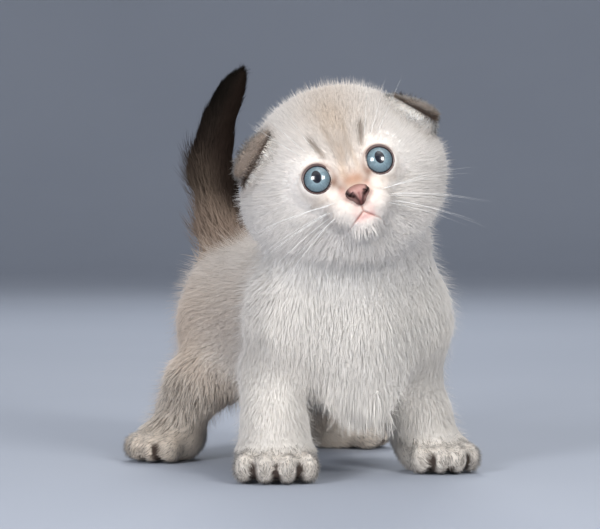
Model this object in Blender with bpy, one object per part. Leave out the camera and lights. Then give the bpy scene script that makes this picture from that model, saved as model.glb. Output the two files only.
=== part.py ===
"""A six-week-old kitten of a fold-eared breed, standing with its tail up, as a still life-size model.

Run it with: blender --background --python part.py
Metres, +Z up. The kitten faces -Y and its left side is +X. The origin is on the floor, under the
middle of its box. The solids give the outline of the coat, and the fine fur is left to the finish.

The body is melted together from balls and rods, laid over one skin and parted with thin cuts.
"""

import math
import random

import bmesh
import bpy
import numpy as np
from mathutils import Euler, Matrix, Vector
from mathutils.bvhtree import BVHTree

MM = 0.001
GAP = 0.3 * MM

# The skin is remade from cubes of this size, laid over the melted shape and thinned to so many faces.
SKIN_CUBE = 1.25 * MM
SKIN_ROUNDS = 5
BODY_FACES = 7450
FACE_REACH = 30 * MM
FACE_WEIGHT = 0.5
FACE_COST = 4e-4
EAR_CUBE = 0.7 * MM
EAR_FACES = 560
NOSE_CUBE = 0.45 * MM
NOSE_FACES = 240

# The head: where its middle is before the whole is centred, and how it turns. Degrees.
HEAD_AT = (-8.0, -2.5, 110.7)
CAMERA_SIDE = -21.0
HEAD_YAW = 6.2
HEAD_PITCH = 8.0
HEAD_ROLL = 17.4

# The eyes, in the head's own frame: face towards -Y, millimetres.
EYE_AT = (11.1, -20.9, -0.9)
EYE_RADIUS = 7.4
EYE_OUT = 6.0
EYE_UP = 4.0
LID_STEPS = 24
LID_WIDE = 6.1
LID_HIGH = 5.7
LID_THICK = 1.0
LID_FORWARD = 4.6

# The nose leather and the mouth, in the head's own frame. The mouth is a groove of three strokes:
# down from the nose, then out and down to each corner.
NOSE_AT = (0.0, -32.4, -9.8)
MOUTH_START = -13.0
MOUTH_TOP = -17.9
MOUTH_CORNER = (6.8, -21.2)
MOUTH_SAG = 0.9
MOUTH_STEPS = 6
MOUTH_GROOVE = 0.7
NOSTRIL_AT = (2.6, -34.8, -10.2)

# The folded ears: each one's place in the head's own frame, and its slope. Degrees.
EARS = {"ear_right": ((-28.0, -2.0, 15.4), -38.0), "ear_left": ((30.3, -1.2, 14.4), 36.0)}

# The locks: the chest fringe's rows (how far back, how high and how many), and the tail's, each a
# stop along the tail and the ways that its locks point, in degrees round from straight ahead.
LOCK_SEED = 7
FRINGE_ROWS = ((-8, 34, 6), (0, 26, 6), (9, 29, 5))
FRINGE_FROM = -11.0
FRINGE_TO = 13.0
FRINGE_LENGTH = 7.5
FRINGE_WIDTH = 5.6
FRINGE_THICK = 2.4
TAIL_LOCK_LENGTH = 12.0
TAIL_LOCK_WIDTH = 7.5
TAIL_LOCKS = (
    (3, (-100, -50, 160, 100)),
    (6, (-120, -70, -20, 170, 120)),
    (10, (-100, -50, 40, 130, -150)),
    (12, (-75, 10, 95, 170)),
)

COLOURS = {
    "coat_cream": (0.80, 0.76, 0.71),
    "coat_taupe": (0.52, 0.47, 0.42),
    "coat_dark": (0.12, 0.10, 0.09),
    "ear_taupe": (0.42, 0.36, 0.31),
    "nose_leather": (0.55, 0.30, 0.27),
    "eye_blue": (0.25, 0.42, 0.52),
}


def clear_scene():
    for thing in list(bpy.data.objects):
        bpy.data.objects.remove(thing, do_unlink=True)


def metres(values):
    return Vector(values) * MM


def turned(degrees):
    return Euler([math.radians(value) for value in degrees]).to_matrix().to_4x4()


def head_frame():
    """The head's own frame in the body's: it faces the camera's side, turned, lifted and tilted."""
    face = turned((0, 0, CAMERA_SIDE + HEAD_YAW))
    lift = turned((-HEAD_PITCH, 0, 0))
    tilt = turned((0, -HEAD_ROLL, 0))
    return Matrix.Translation(metres(HEAD_AT)) @ face @ tilt @ lift


class Ball:
    """A solid ellipsoid in a frame. blend says how far it melts into what is there already."""

    def __init__(self, at, radii, turn=(0, 0, 0), blend=6.0, frame=None):
        self.radii = np.array(radii, float) * MM
        self.blend = blend * MM
        self.place = (frame or Matrix()) @ Matrix.Translation(metres(at)) @ turned(turn)
        self.back = np.array(self.place.inverted())

    def distance(self, points):
        local = points @ self.back[:3, :3].T + self.back[:3, 3]
        share = np.linalg.norm(local / self.radii, axis=1)
        slope = np.linalg.norm(local / self.radii**2, axis=1)
        return share * (share - 1.0) / np.maximum(slope, 1e-9)

    def add_to(self, mesh):
        size = Matrix.Diagonal((*self.radii, 1.0))
        bmesh.ops.create_icosphere(mesh, subdivisions=3, radius=1.0, matrix=self.place @ size)


class Rod:
    """A round rod from one point to another, with a radius at each end."""

    def __init__(self, start, end, start_radius, end_radius, blend=6.0, frame=None):
        place = frame or Matrix()
        self.start = np.array(place @ metres(start))
        self.end = np.array(place @ metres(end))
        self.radii = (start_radius * MM, end_radius * MM)
        self.blend = blend * MM

    def distance(self, points):
        along = self.end - self.start
        share = np.clip((points - self.start) @ along / (along @ along), 0.0, 1.0)
        nearest = self.start + share[:, None] * along
        radius = self.radii[0] + share * (self.radii[1] - self.radii[0])
        return np.linalg.norm(points - nearest, axis=1) - radius

    def add_to(self, mesh):
        length = np.linalg.norm(self.end - self.start)
        count = 2 + int(length / (0.4 * min(self.radii)))
        for share in np.linspace(0.0, 1.0, count):
            middle = Vector(self.start + share * (self.end - self.start))
            radius = self.radii[0] + share * (self.radii[1] - self.radii[0])
            bmesh.ops.create_icosphere(
                mesh, subdivisions=2, radius=radius, matrix=Matrix.Translation(middle)
            )


def melted(pieces, points):
    """The distance to all the pieces, each melted into the ones before it."""
    total = pieces[0].distance(points)
    for piece in pieces[1:]:
        own = piece.distance(points)
        share = np.clip(0.5 + 0.5 * (total - own) / piece.blend, 0.0, 1.0)
        total = total * (1 - share) + own * share - piece.blend * share * (1 - share)
    return total


def hollowed(total, pieces, points):
    """The distance with hollows taken out of it, each with a soft edge."""
    for piece in pieces:
        own = -piece.distance(points)
        share = np.clip(0.5 - 0.5 * (total - own) / piece.blend, 0.0, 1.0)
        total = total * (1 - share) + own * share + piece.blend * share * (1 - share)
    return total


def limb(points, radii, blend, frame=None):
    """Rods end to end through the points."""
    ends = zip(points[:-1], points[1:], radii[:-1], radii[1:])
    return [Rod(*end, blend=blend, frame=frame) for end in ends]


def smooth_route(points, count):
    """So many points evenly along a smooth curve through the points given."""
    ends = [2 * np.array(points[0]) - points[1], *points, 2 * np.array(points[-1]) - points[-2]]
    route = []
    for place in np.linspace(0, len(points) - 1, count):
        index = min(int(place), len(points) - 2)
        share = place - index
        before, start, end, after = (np.array(point, float) for point in ends[index : index + 4])
        bend = (2 * before - 5 * start + 4 * end - after) * share**2
        turn = (3 * start - before - 3 * end + after) * share**3
        route.append(0.5 * (2 * start + (end - before) * share + bend + turn))
    return route


def torso_pieces():
    """The trunk, with the spine bending a little to the kitten's right at the hips."""
    return [
        Ball((0, 36, 60), (33, 42, 29)),
        Ball((1, 14, 60), (31, 22, 28), blend=12),
        Ball((-2, 70, 58), (33, 38, 29.5), blend=14),
        Ball((-6, 99, 59), (31.5, 26, 30), blend=14),
        Ball((0, 30, 76), (22, 30, 13), blend=12),
        Ball((3, 3, 46), (19, 14, 23), blend=9),
        Ball((-2, 62, 76), (20, 34, 12), blend=12),
        Ball((-2, 60, 36), (22, 30, 12), blend=12),
    ]


def neck_pieces():
    """The short neck, and the ruff that fills the hollow between the left cheek and shoulder."""
    pieces = limb([(0, 26, 74), (-5, 8, 98)], (28, 25), blend=8)
    pieces.append(Ball((17, 14, 86), (17, 17, 17), blend=10))
    return pieces


# The tail stands up behind the hips, thick at the root and curling forward at the tip. Each stop
# is a place and the radius of the coat there, in millimetres.
TAIL_STOPS = [
    (-7, 106, 68, 14.5),
    (-10.5, 116, 84, 12.8),
    (-15.2, 121, 100, 11.6),
    (-17.2, 124, 116, 10.3),
    (-14.4, 124, 132, 8.6),
    (-9.4, 122, 146, 6.0),
    (-4.6, 118.5, 157.5, 1.9),
]
TAIL_COUNT = 19


def tail_pieces():
    route = smooth_route(TAIL_STOPS, TAIL_COUNT)
    pieces = []
    for start, end in zip(route[:-1], route[1:]):
        pieces.append(Rod(start[:3], end[:3], start[3], end[3], blend=0.6))
    pieces[0].blend = 9 * MM
    return pieces


def paw_frame(at, outward):
    """A frame on the floor, whose -Y points along the toes. outward is in degrees."""
    return Matrix.Translation(metres(at)) @ turned((0, 0, outward))


def paw_pieces(frame, width, length):
    """A paw with four toes in a fan; the two in the middle reach further."""
    half = width / 2
    pieces = [Ball((0, 1, 8.2), (half - 1.0, length * 0.54, 8.6), blend=7, frame=frame)]
    for place, reach in ((-1.0, 0.0), (-0.36, 3.8), (0.36, 3.8), (1.0, 0.0)):
        side = place * (half - 4.8)
        toe = Ball(
            (side, -length * 0.5 + 2.2 - reach, 5.9),
            (4.8, 7.0, 6.3),
            turn=(8, 0, 14 * place),
            blend=1.4,
            frame=frame,
        )
        pieces.append(toe)
    return pieces


def foreleg_pieces(shoulder, elbow, wrist, paw):
    """A shoulder, an upper arm and a forearm down to the paw."""
    pieces = [Ball(shoulder, (16.5, 20, 26), blend=8)]
    pieces += limb([elbow, wrist, paw], (13.5, 12.3, 11.0), blend=6)
    return pieces


def hindleg_pieces(thigh, knee, hock, foot):
    """A thigh, a shank folded back to the hock, and the foot laid forward."""
    pieces = [Ball(thigh, (17, 24, 25), blend=9)]
    pieces += limb([knee, hock, foot], (13.5, 9.0, 9.5), blend=6)
    return pieces


# The paws' places on the floor in millimetres, and where they point. Degrees from straight ahead.
FOREPAW_RIGHT = ((-32.0, 3.5, 0), -19.0)
FOREPAW_LEFT = ((36.0, 14.5, 0), -4.0)
HINDPAW_RIGHT = ((-46.5, 86.5, 0), -60.0)
HINDPAW_LEFT = ((36.0, 110.0, 0), 66.0)


def leg_pieces():
    pieces = foreleg_pieces((-24, 15, 58), (-28, 20, 40), (-30.5, 9, 19), (-31.5, 5, 10))
    pieces += foreleg_pieces((27, 18, 58), (29, 25, 41), (31.3, 19, 20), (33.6, 17, 10))
    pieces += hindleg_pieces((-24, 88, 46), (-36, 80, 32), (-37, 101, 22), (-44, 90, 9))
    pieces += limb([(-37, 82, 30), (-44.5, 85, 13)], (12.5, 9.5), blend=6)
    pieces += hindleg_pieces((16, 98, 46), (25, 90, 34), (19, 120, 22), (31, 113, 9))
    pieces += paw_pieces(paw_frame(*FOREPAW_RIGHT), 32, 24)
    pieces += paw_pieces(paw_frame(*FOREPAW_LEFT), 28, 24)
    pieces += paw_pieces(paw_frame(*HINDPAW_RIGHT), 27, 22)
    pieces += paw_pieces(paw_frame(*HINDPAW_LEFT), 26, 22)
    return pieces


def head_pieces(frame):
    """A round skull, full low cheeks, a short muzzle and a soft throat."""
    pieces = [Ball((0, 7, 6), (33.5, 30, 29.5), blend=8, frame=frame)]
    pieces.append(Ball((0, -8, 8), (24, 18.2, 16), blend=9, frame=frame))
    pieces.append(Ball((2.5, -2, -18.5), (26.5, 21, 15), blend=10, frame=frame))
    for side in (-1, 1):
        pieces.append(Ball((side * 19.4, 4, -2.5), (19.4, 21, 18.5), blend=9, frame=frame))
    pieces.append(Ball((0, -21, -3), (7.0, 9.5, 10), blend=5, frame=frame))
    for side in (-1, 1):
        brow = frame @ eye_frame(side)
        pieces.append(Ball((0, 2.8, 0), (9.5, 9.2, 9.3), blend=3, frame=brow))
    for side in (-1, 1):
        pieces.append(Ball((side * 5.6, -24.8, -14.4), (8.0, 8, 6.4), blend=4, frame=frame))
    pieces.append(Ball((0, -23.6, -21.8), (7.2, 7, 4.6), blend=3, frame=frame))
    return pieces


def ear_pieces(frame):
    """A small ear folded forward: the cup, its front lip and the flap that lies over both."""
    cup = Ball((0, 0.5, -1.0), (10.6, 8.6, 5.0), blend=2, frame=frame)
    lip = Ball((0.5, -6.0, -3.4), (9.2, 4.4, 2.8), turn=(16, 0, 0), blend=1.5, frame=frame)
    flap = Ball((0, -3.4, 2.9), (10.6, 8.6, 2.1), turn=(24, 0, 0), blend=1.5, frame=frame)
    tip = Ball((1.2, -9.6, 0.2), (6.6, 4.2, 1.8), turn=(34, 0, 0), blend=1.5, frame=frame)
    return [cup, lip, flap, tip]


def ear_hollow(frame):
    """The space inside the cup, open to the front below the flap."""
    return [Ball((0, -7.0, -0.9), (7.8, 6.2, 1.35), turn=(22, 0, 0), blend=0.6, frame=frame)]


class Locks:
    """Flat, tapered locks of hair, drawn as closed shapes with their roots sunk in the body."""

    def __init__(self):
        self.made = bpy.data.collections.new("locks")
        bpy.context.scene.collection.children.link(self.made)
        self.chance = random.Random(LOCK_SEED)

    def add(self, root, along, outward, length, width, thick):
        """A lock from a point on the skin, in metres, along a direction and curling outward."""
        wander = self.chance.uniform
        along = Vector(along).normalized()
        outward = Vector(outward).normalized()
        across = along.cross(outward).normalized()
        length *= wander(0.85, 1.15) * MM
        curl = wander(0.04, 0.16)
        shape = bmesh.new()
        loops = []
        for share, size in ((-0.35, 0.8), (0.1, 1.0), (0.6, 0.62)):
            middle = Vector(root) + along * length * share + outward * length * curl * share * abs(share)
            side = across * width * MM * size / 2
            face = outward * thick * MM * size / 2
            corners = (middle + side, middle + face, middle - side, middle - face)
            loops.append([shape.verts.new(corner) for corner in corners])
        tip = shape.verts.new(Vector(root) + along * length + outward * length * curl)
        for one, other in zip(loops[:-1], loops[1:]):
            for step in range(4):
                turn = (step + 1) % 4
                shape.faces.new((one[step], one[turn], other[turn], other[step]))
        for step in range(4):
            shape.faces.new((loops[-1][step], loops[-1][(step + 1) % 4], tip))
        shape.faces.new(loops[0])
        bmesh.ops.recalc_face_normals(shape, faces=shape.faces)
        lock = linked("lock", shape)
        bpy.context.scene.collection.objects.unlink(lock)
        self.made.objects.link(lock)

    def join_to(self, body):
        """One union of the body with all the locks, which are then removed."""
        union = body.modifiers.new("locks", "BOOLEAN")
        union.operation = "UNION"
        union.operand_type = "COLLECTION"
        union.collection = self.made
        # EXACT is slow on so many pieces.
        union.solver = "MANIFOLD"
        keep_largest(applied(body))
        for lock in list(self.made.objects):
            bpy.data.objects.remove(lock, do_unlink=True)
        bpy.data.collections.remove(self.made)


def surface(body):
    """A finder for the body's nearest skin."""
    body.data.calc_loop_triangles()
    corners = [vert.co for vert in body.data.vertices]
    return BVHTree.FromPolygons(corners, [tri.vertices for tri in body.data.loop_triangles])


def add_locks(body):
    """The chest fringe, which hangs between the forelegs, and the loose hair along the tail."""
    skin = surface(body)
    locks = Locks()
    for row, (forward, high, count) in enumerate(FRINGE_ROWS):
        for step in range(count):
            share = (step + 0.5) / count
            along = FRINGE_FROM + share * (FRINGE_TO - FRINGE_FROM)
            root, normal = skin.find_nearest(metres((along, forward, high)))[:2]
            hang = Vector((0.12 * (share - 0.5), -0.25, -1.0)) + 0.25 * normal
            locks.add(root, hang, normal, FRINGE_LENGTH - row, FRINGE_WIDTH, FRINGE_THICK)
    route = smooth_route(TAIL_STOPS, TAIL_COUNT)
    for place, turns in TAIL_LOCKS:
        middle = Vector(route[place][:3]) * MM
        rise = (Vector(route[place + 1][:3]) - Vector(route[place - 1][:3])).normalized()
        for turn in turns:
            out = Vector((math.sin(math.radians(turn)), -math.cos(math.radians(turn)), 0))
            root, normal = skin.find_nearest(middle + out * route[place][3] * MM)[:2]
            locks.add(root, rise + 0.12 * normal, normal, TAIL_LOCK_LENGTH, TAIL_LOCK_WIDTH, FRINGE_THICK)
    locks.join_to(body)


def remade(mesh, cube):
    """One closed skin over all the overlapping shapes of a mesh."""
    thing = bpy.data.objects.new("skin", mesh)
    bpy.context.scene.collection.objects.link(thing)
    remesh = thing.modifiers.new("remesh", "REMESH")
    remesh.mode = "VOXEL"
    remesh.voxel_size = cube
    return applied(thing)


def applied(thing):
    """The object with its modifiers made real."""
    bpy.context.view_layer.update()
    graph = bpy.context.evaluated_depsgraph_get()
    mesh = bpy.data.meshes.new_from_object(thing.evaluated_get(graph))
    thing.modifiers.clear()
    thing.data = mesh
    return thing


def eased(points, edges):
    """Each point drawn half way to the middle of its neighbours."""
    sums = np.zeros_like(points)
    counts = np.zeros(len(points))
    for one, other in ((0, 1), (1, 0)):
        np.add.at(sums, edges[:, one], points[edges[:, other]])
        np.add.at(counts, edges[:, one], 1)
    return 0.5 * points + 0.5 * sums / counts[:, None]


def drawn_to(points, field, most):
    """The points moved along the field's slope to where the field is zero."""
    step = 0.05 * MM
    for _ in range(4):
        here = field(points)
        slope = np.empty_like(points)
        for axis in range(3):
            beside = points.copy()
            beside[:, axis] += step
            slope[:, axis] = (field(beside) - here) / step
        size = np.maximum((slope**2).sum(axis=1), 0.05)
        move = -(here / size)[:, None] * slope
        length = np.linalg.norm(move, axis=1)
        move *= np.minimum(1.0, most / np.maximum(length, 1e-12))[:, None]
        points = points + move
    return points


def grown(name, pieces, field, cube, faces, finer_near=None):
    """A closed skin over the pieces, laid on the field's zero and thinned to so many triangles.

    finer_near is a point and a reach inside which more of the triangles are kept.
    """
    start = bpy.data.meshes.new(name)
    shape = bmesh.new()
    for piece in pieces:
        piece.add_to(shape)
    shape.to_mesh(start)
    shape.free()
    thing = remade(start, cube)
    thing.name = name
    mesh = thing.data
    points = np.empty(len(mesh.vertices) * 3)
    mesh.vertices.foreach_get("co", points)
    points = points.reshape(-1, 3)
    edges = np.empty(len(mesh.edges) * 2, np.int64)
    mesh.edges.foreach_get("vertices", edges)
    edges = edges.reshape(-1, 2)
    for _ in range(SKIN_ROUNDS):
        points = drawn_to(eased(points, edges), field, 1.5 * MM)
    mesh.vertices.foreach_set("co", points.ravel())
    mesh.update()
    if finer_near is not None:
        middle, reach = finer_near
        far = np.linalg.norm(points - np.array(middle), axis=1) > reach
        coarse = thing.vertex_groups.new(name="coarse")
        coarse.add(np.flatnonzero(far).tolist(), 1.0, "REPLACE")
        coarse.add(np.flatnonzero(~far).tolist(), FACE_WEIGHT, "REPLACE")
    thin = thing.modifiers.new("thin", "DECIMATE")
    thin.ratio = faces / (2 * len(mesh.polygons))
    thin.use_collapse_triangulate = True
    if finer_near is not None:
        thin.vertex_group = "coarse"
        thin.vertex_group_factor = FACE_COST
    applied(thing)
    thing.vertex_groups.clear()
    return thing


def keep_largest(thing):
    """Drops every loose piece but the one with the most volume."""
    shape = bmesh.new()
    shape.from_mesh(thing.data)
    shape.verts.ensure_lookup_table()
    left = set(shape.verts)
    groups = []
    while left:
        group = {left.pop()}
        front = list(group)
        while front:
            vert = front.pop()
            near = [edge.other_vert(vert) for edge in vert.link_edges]
            fresh = {other for other in near if other in left}
            left -= fresh
            group |= fresh
            front += fresh
        groups.append(group)
    largest = max(groups, key=len)
    bmesh.ops.delete(shape, geom=[v for g in groups if g is not largest for v in g])
    shape.to_mesh(thing.data)
    shape.free()
    return thing


def combined(thing, operation, other, solver="EXACT"):
    """A Boolean of two objects, made real. The other object stays as it is."""
    cut = thing.modifiers.new("cut", "BOOLEAN")
    cut.operation = operation
    cut.solver = solver
    cut.object = other
    return keep_largest(applied(thing))


def copied(thing, name):
    twin = bpy.data.objects.new(name, thing.data.copy())
    bpy.context.scene.collection.objects.link(twin)
    return twin


def cutter(planes, grow=0.0):
    """The closed block behind all the planes, each a point in millimetres and an outward normal."""
    shape = bmesh.new()
    bmesh.ops.create_cube(shape, size=0.6, matrix=Matrix.Translation((0.0, 0.05, 0.1)))
    for at, normal in planes:
        out = Vector(normal).normalized()
        parts = shape.verts[:] + shape.edges[:] + shape.faces[:]
        cut = bmesh.ops.bisect_plane(
            shape, geom=parts, plane_co=metres(at) + out * grow, plane_no=out, clear_outer=True
        )
        rim = [item for item in cut["geom_cut"] if isinstance(item, bmesh.types.BMEdge)]
        if rim:
            bmesh.ops.edgeloop_fill(shape, edges=rim)
    bmesh.ops.recalc_face_normals(shape, faces=shape.faces)
    return linked("cutter", shape)


def linked(name, shape):
    """An object from a bmesh, in the scene."""
    mesh = bpy.data.meshes.new(name)
    shape.to_mesh(mesh)
    shape.free()
    thing = bpy.data.objects.new(name, mesh)
    bpy.context.scene.collection.objects.link(thing)
    return thing


def parted(body, name, planes):
    """Cuts what lies behind the planes off the body as a node of its own, with a thin gap."""
    inner = cutter(planes)
    outer = cutter(planes, grow=GAP)
    piece = combined(copied(body, name), "INTERSECT", inner)
    combined(body, "DIFFERENCE", outer)
    for block in (inner, outer):
        bpy.data.objects.remove(block, do_unlink=True)
    return piece


# The planes that bound each node of the body, in the order in which the nodes are cut off.
# Each plane is a point and an outward normal. What is left at the end is the torso.
REGIONS = {
    "forepaw_right": [((0, 0, 14), (0, 0, 1)), ((-8, 0, 0), (1, 0, 0)), ((0, 34, 0), (0, 1, 0))],
    "forepaw_left": [((0, 0, 14), (0, 0, 1)), ((8, 0, 0), (-1, 0, 0)), ((0, 44, 0), (0, 1, 0))],
    "hindpaw_right": [((-36, 91, 15), (0.75, 0.3, 0.55)), ((0, 60, 0), (0, -1, 0))],
    "hindpaw_left": [((26, 113, 12), (-0.75, 0.3, 0.55)), ((0, 78, 0), (0, -1, 0))],
    "foreleg_right": [
        ((-20, 14, 47), (0.55, 0.1, 0.83)),
        ((-15, 0, 0), (1, 0, 0)),
        ((0, 33, 33), (0, 0.86, 0.5)),
    ],
    "foreleg_left": [
        ((22, 18, 47), (-0.55, 0.1, 0.83)),
        ((16, 0, 0), (-1, 0, 0)),
        ((0, 38, 33), (0, 0.86, 0.5)),
    ],
    "hindleg_right": [
        ((-22, 88, 52), (0.6, 0.0, 0.8)),
        ((-11, 0, 0), (1, 0, 0)),
        ((0, 66, 38), (0, -0.8, 0.6)),
    ],
    "hindleg_left": [
        ((13, 98, 52), (-0.6, 0.0, 0.8)),
        ((3, 0, 0), (-1, 0, 0)),
        ((0, 72, 38), (0, -0.8, 0.6)),
    ],
    "tail_tip": [((0, 0, 136), (0, 0.05, -1)), ((0, 90, 0), (0, -1, 0))],
    "tail_middle": [((0, 0, 108), (0, 0.1, -1)), ((0, 90, 0), (0, -1, 0))],
    "tail_root": [((0, 111, 74), (0, -0.5, -0.86)), ((0, 90, 0), (0, -1, 0))],
    "head": [((-4, 17, 94), (0.15, 0.75, -0.64)), ((-3, 0, 82), (0, 0.2, -1))],
    "neck": [((-1, 24, 86), (0, 0.4, -0.92))],
}


def eye_frame(side):
    """The eye's frame in the head's: its -Y looks out a little to the side and up."""
    along, forward, up = EYE_AT
    look = turned((-EYE_UP, 0, side * EYE_OUT))
    return Matrix.Translation(metres((side * along, forward, up))) @ look


def ball_mesh(name, radii, frame, segments=24, rings=16):
    """A closed ball of unequal radii. Its poles are on the frame's Y axis."""
    shape = bmesh.new()
    stand = Matrix.Rotation(math.radians(90), 4, "X")
    size = Matrix.Diagonal((*(value * MM for value in radii), 1.0))
    bmesh.ops.create_uvsphere(
        shape, u_segments=segments, v_segments=rings, radius=1.0, matrix=frame @ size @ stand
    )
    return linked(name, shape)


def ring_mesh(name, route, radius, sides=8, closed=True):
    """A tube of one radius, or of one radius a point, along a route in world space."""
    shape = bmesh.new()
    count = len(route)
    radii = radius if isinstance(radius, (list, tuple)) else [radius] * count
    loops = []
    for index, at in enumerate(route):
        after = route[(index + 1) % count] if closed else route[min(index + 1, count - 1)]
        before = route[index - 1] if closed else route[max(index - 1, 0)]
        along = (after - before).normalized()
        across = along.cross(Vector((0.11, 0.35, 0.93))).normalized()
        other = along.cross(across)
        loop = []
        for step in range(sides):
            angle = 2 * math.pi * step / sides
            spoke = across * math.cos(angle) + other * math.sin(angle)
            loop.append(shape.verts.new(at + spoke * radii[index]))
        loops.append(loop)
    pairs = list(zip(loops, loops[1:] + loops[:1])) if closed else list(zip(loops, loops[1:]))
    for one, other in pairs:
        for step in range(sides):
            turn = (step + 1) % sides
            shape.faces.new((one[step], one[turn], other[turn], other[step]))
    if not closed:
        shape.faces.new(loops[0])
        shape.faces.new(loops[-1])
    bmesh.ops.recalc_face_normals(shape, faces=shape.faces)
    return linked(name, shape)


def swallow(thing, operation, other, solver="EXACT"):
    """A Boolean whose other object is used up."""
    combined(thing, operation, other, solver)
    bpy.data.objects.remove(other, do_unlink=True)
    return thing


def add_eyes(head, frame):
    """Raised lids on the head, a socket behind each, and an eyeball in it."""
    eyes = []
    for name, side in (("eye_right", -1), ("eye_left", 1)):
        own = frame @ eye_frame(side)
        rim = []
        for step in range(LID_STEPS):
            angle = 2 * math.pi * step / LID_STEPS
            rim.append(own @ metres((LID_WIDE * math.cos(angle), -LID_FORWARD, LID_HIGH * math.sin(angle))))
        # EXACT loses the head here, at the second socket, so MANIFOLD makes these cuts.
        swallow(head, "UNION", ring_mesh("lid", rim, LID_THICK * MM), "MANIFOLD")
        radius = EYE_RADIUS + GAP / MM
        swallow(head, "DIFFERENCE", ball_mesh("socket", (radius,) * 3, own), "MANIFOLD")
        eyes.append(ball_mesh(name, (EYE_RADIUS,) * 3, own, segments=16, rings=10))
    return eyes


def inflated(thing, by):
    """A copy of the object, thicker by a distance all over."""
    twin = copied(thing, "inflated")
    grow = twin.modifiers.new("grow", "DISPLACE")
    grow.mid_level = 0.0
    grow.strength = by
    return applied(twin)


def add_mouth(head, frame):
    """The line of the mouth: a groove from the nose down, and one out to each corner."""
    skin = surface(head)
    ahead = (frame.to_3x3() @ Vector((0, 1, 0))).normalized()
    centre = Vector((0, MOUTH_TOP))
    strokes = [[Vector((0, MOUTH_START)), centre]]
    for side in (-1, 1):
        corner = Vector((side * MOUTH_CORNER[0], MOUTH_CORNER[1]))
        bend = (centre + corner) / 2 + Vector((0, -MOUTH_SAG))
        strokes.append([centre, bend, corner])
    for stroke in strokes:
        route = []
        for across, high in smooth_route(stroke, MOUTH_STEPS):
            start = frame @ metres((across, -60, high))
            route.append(skin.ray_cast(start, ahead)[0])
        radii = [MOUTH_GROOVE * MM] * (MOUTH_STEPS - 2) + [0.5 * MOUTH_GROOVE * MM, 0.2 * MOUTH_GROOVE * MM]
        groove = ring_mesh("mouth", route, radii, sides=6, closed=False)
        swallow(head, "DIFFERENCE", groove, "MANIFOLD")


def make_nose(head, frame):
    """The nose leather: a rounded wedge with two nostrils, seated on the muzzle."""
    pieces = [
        Ball(NOSE_AT, (4.6, 3.2, 2.6), blend=1.5, frame=frame),
        Ball((NOSE_AT[0], NOSE_AT[1] + 0.2, NOSE_AT[2] - 2.2), (2.2, 2.8, 2.6), blend=1.5, frame=frame),
    ]

    def field(points):
        return melted(pieces, points)

    nose = grown("nose", pieces, field, NOSE_CUBE, NOSE_FACES)
    for side in (-1, 1):
        along, forward, up = NOSTRIL_AT
        at = Matrix.Translation(metres((side * along, forward, up)))
        hole = frame @ at @ turned((0, side * 30, 0))
        swallow(nose, "DIFFERENCE", ball_mesh("nostril", (1.3, 1.8, 0.7), hole, segments=8, rings=6))
    seat = inflated(head, GAP)
    return swallow(nose, "DIFFERENCE", seat)


def make_ear(name, head, frame):
    """One folded ear, seated on the head."""
    at, slope = EARS[name]
    own = frame @ Matrix.Translation(metres(at)) @ turned((0, slope, 0))
    pieces = ear_pieces(own)
    hollow = ear_hollow(own)

    def field(points):
        return hollowed(melted(pieces, points), hollow, points)

    ear = grown(name, pieces, field, EAR_CUBE, EAR_FACES)
    return swallow(ear, "DIFFERENCE", inflated(head, GAP))


def finish(nodes):
    """Centres the kitten over the origin, and gives each node its place, shading and material."""
    low = Vector((math.inf,) * 3)
    high = -low
    for node in nodes.values():
        for vert in node.data.vertices:
            low = Vector(map(min, low, vert.co))
            high = Vector(map(max, high, vert.co))
    shift = Matrix.Translation((-(low.x + high.x) / 2, -(low.y + high.y) / 2, -low.z))
    for name, node in nodes.items():
        node.name = name
        node.data.name = name
        node.data.transform(shift)
        node.data.shade_smooth()
        node.data.set_sharp_from_angle(angle=math.radians(50))
        node.data.materials.clear()
        node.data.materials.append(material(*LOOKS[name]))


def material(name, roughness):
    """A plain surface in one colour."""
    found = bpy.data.materials.get(name)
    if found:
        return found
    made = bpy.data.materials.new(name)
    made.use_nodes = True
    shader = made.node_tree.nodes["Principled BSDF"]
    shader.inputs["Base Color"].default_value = (*COLOURS[name], 1.0)
    shader.inputs["Roughness"].default_value = roughness
    made.diffuse_color = (*COLOURS[name], 1.0)
    return made


# Each node's material and roughness.
LOOKS = {
    "head": ("coat_cream", 0.9),
    "neck": ("coat_cream", 0.9),
    "torso": ("coat_cream", 0.9),
    "foreleg_right": ("coat_cream", 0.9),
    "foreleg_left": ("coat_cream", 0.9),
    "forepaw_right": ("coat_cream", 0.9),
    "forepaw_left": ("coat_cream", 0.9),
    "hindleg_right": ("coat_taupe", 0.9),
    "hindleg_left": ("coat_taupe", 0.9),
    "hindpaw_right": ("coat_taupe", 0.9),
    "hindpaw_left": ("coat_taupe", 0.9),
    "tail_root": ("coat_taupe", 0.9),
    "tail_middle": ("coat_dark", 0.9),
    "tail_tip": ("coat_dark", 0.9),
    "ear_right": ("ear_taupe", 0.9),
    "ear_left": ("ear_taupe", 0.9),
    "eye_right": ("eye_blue", 0.1),
    "eye_left": ("eye_blue", 0.1),
    "nose": ("nose_leather", 0.5),
}


def main():
    clear_scene()
    frame = head_frame()
    pieces = torso_pieces() + neck_pieces() + tail_pieces() + leg_pieces() + head_pieces(frame)

    def field(points):
        return melted(pieces, points)

    face = (frame @ metres((0, -14, -4)), FACE_REACH)
    body = grown("torso", pieces, field, SKIN_CUBE, BODY_FACES, finer_near=face)
    add_locks(body)
    swallow(body, "DIFFERENCE", cutter([((0, 0, 0), (0, 0, 1))]))
    nodes = {name: parted(body, name, planes) for name, planes in REGIONS.items()}
    nodes["torso"] = body
    head = nodes["head"]
    for name in EARS:
        nodes[name] = make_ear(name, head, frame)
    nodes["nose"] = make_nose(head, frame)
    nodes["eye_right"], nodes["eye_left"] = add_eyes(head, frame)
    add_mouth(head, frame)
    finish(nodes)


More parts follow.
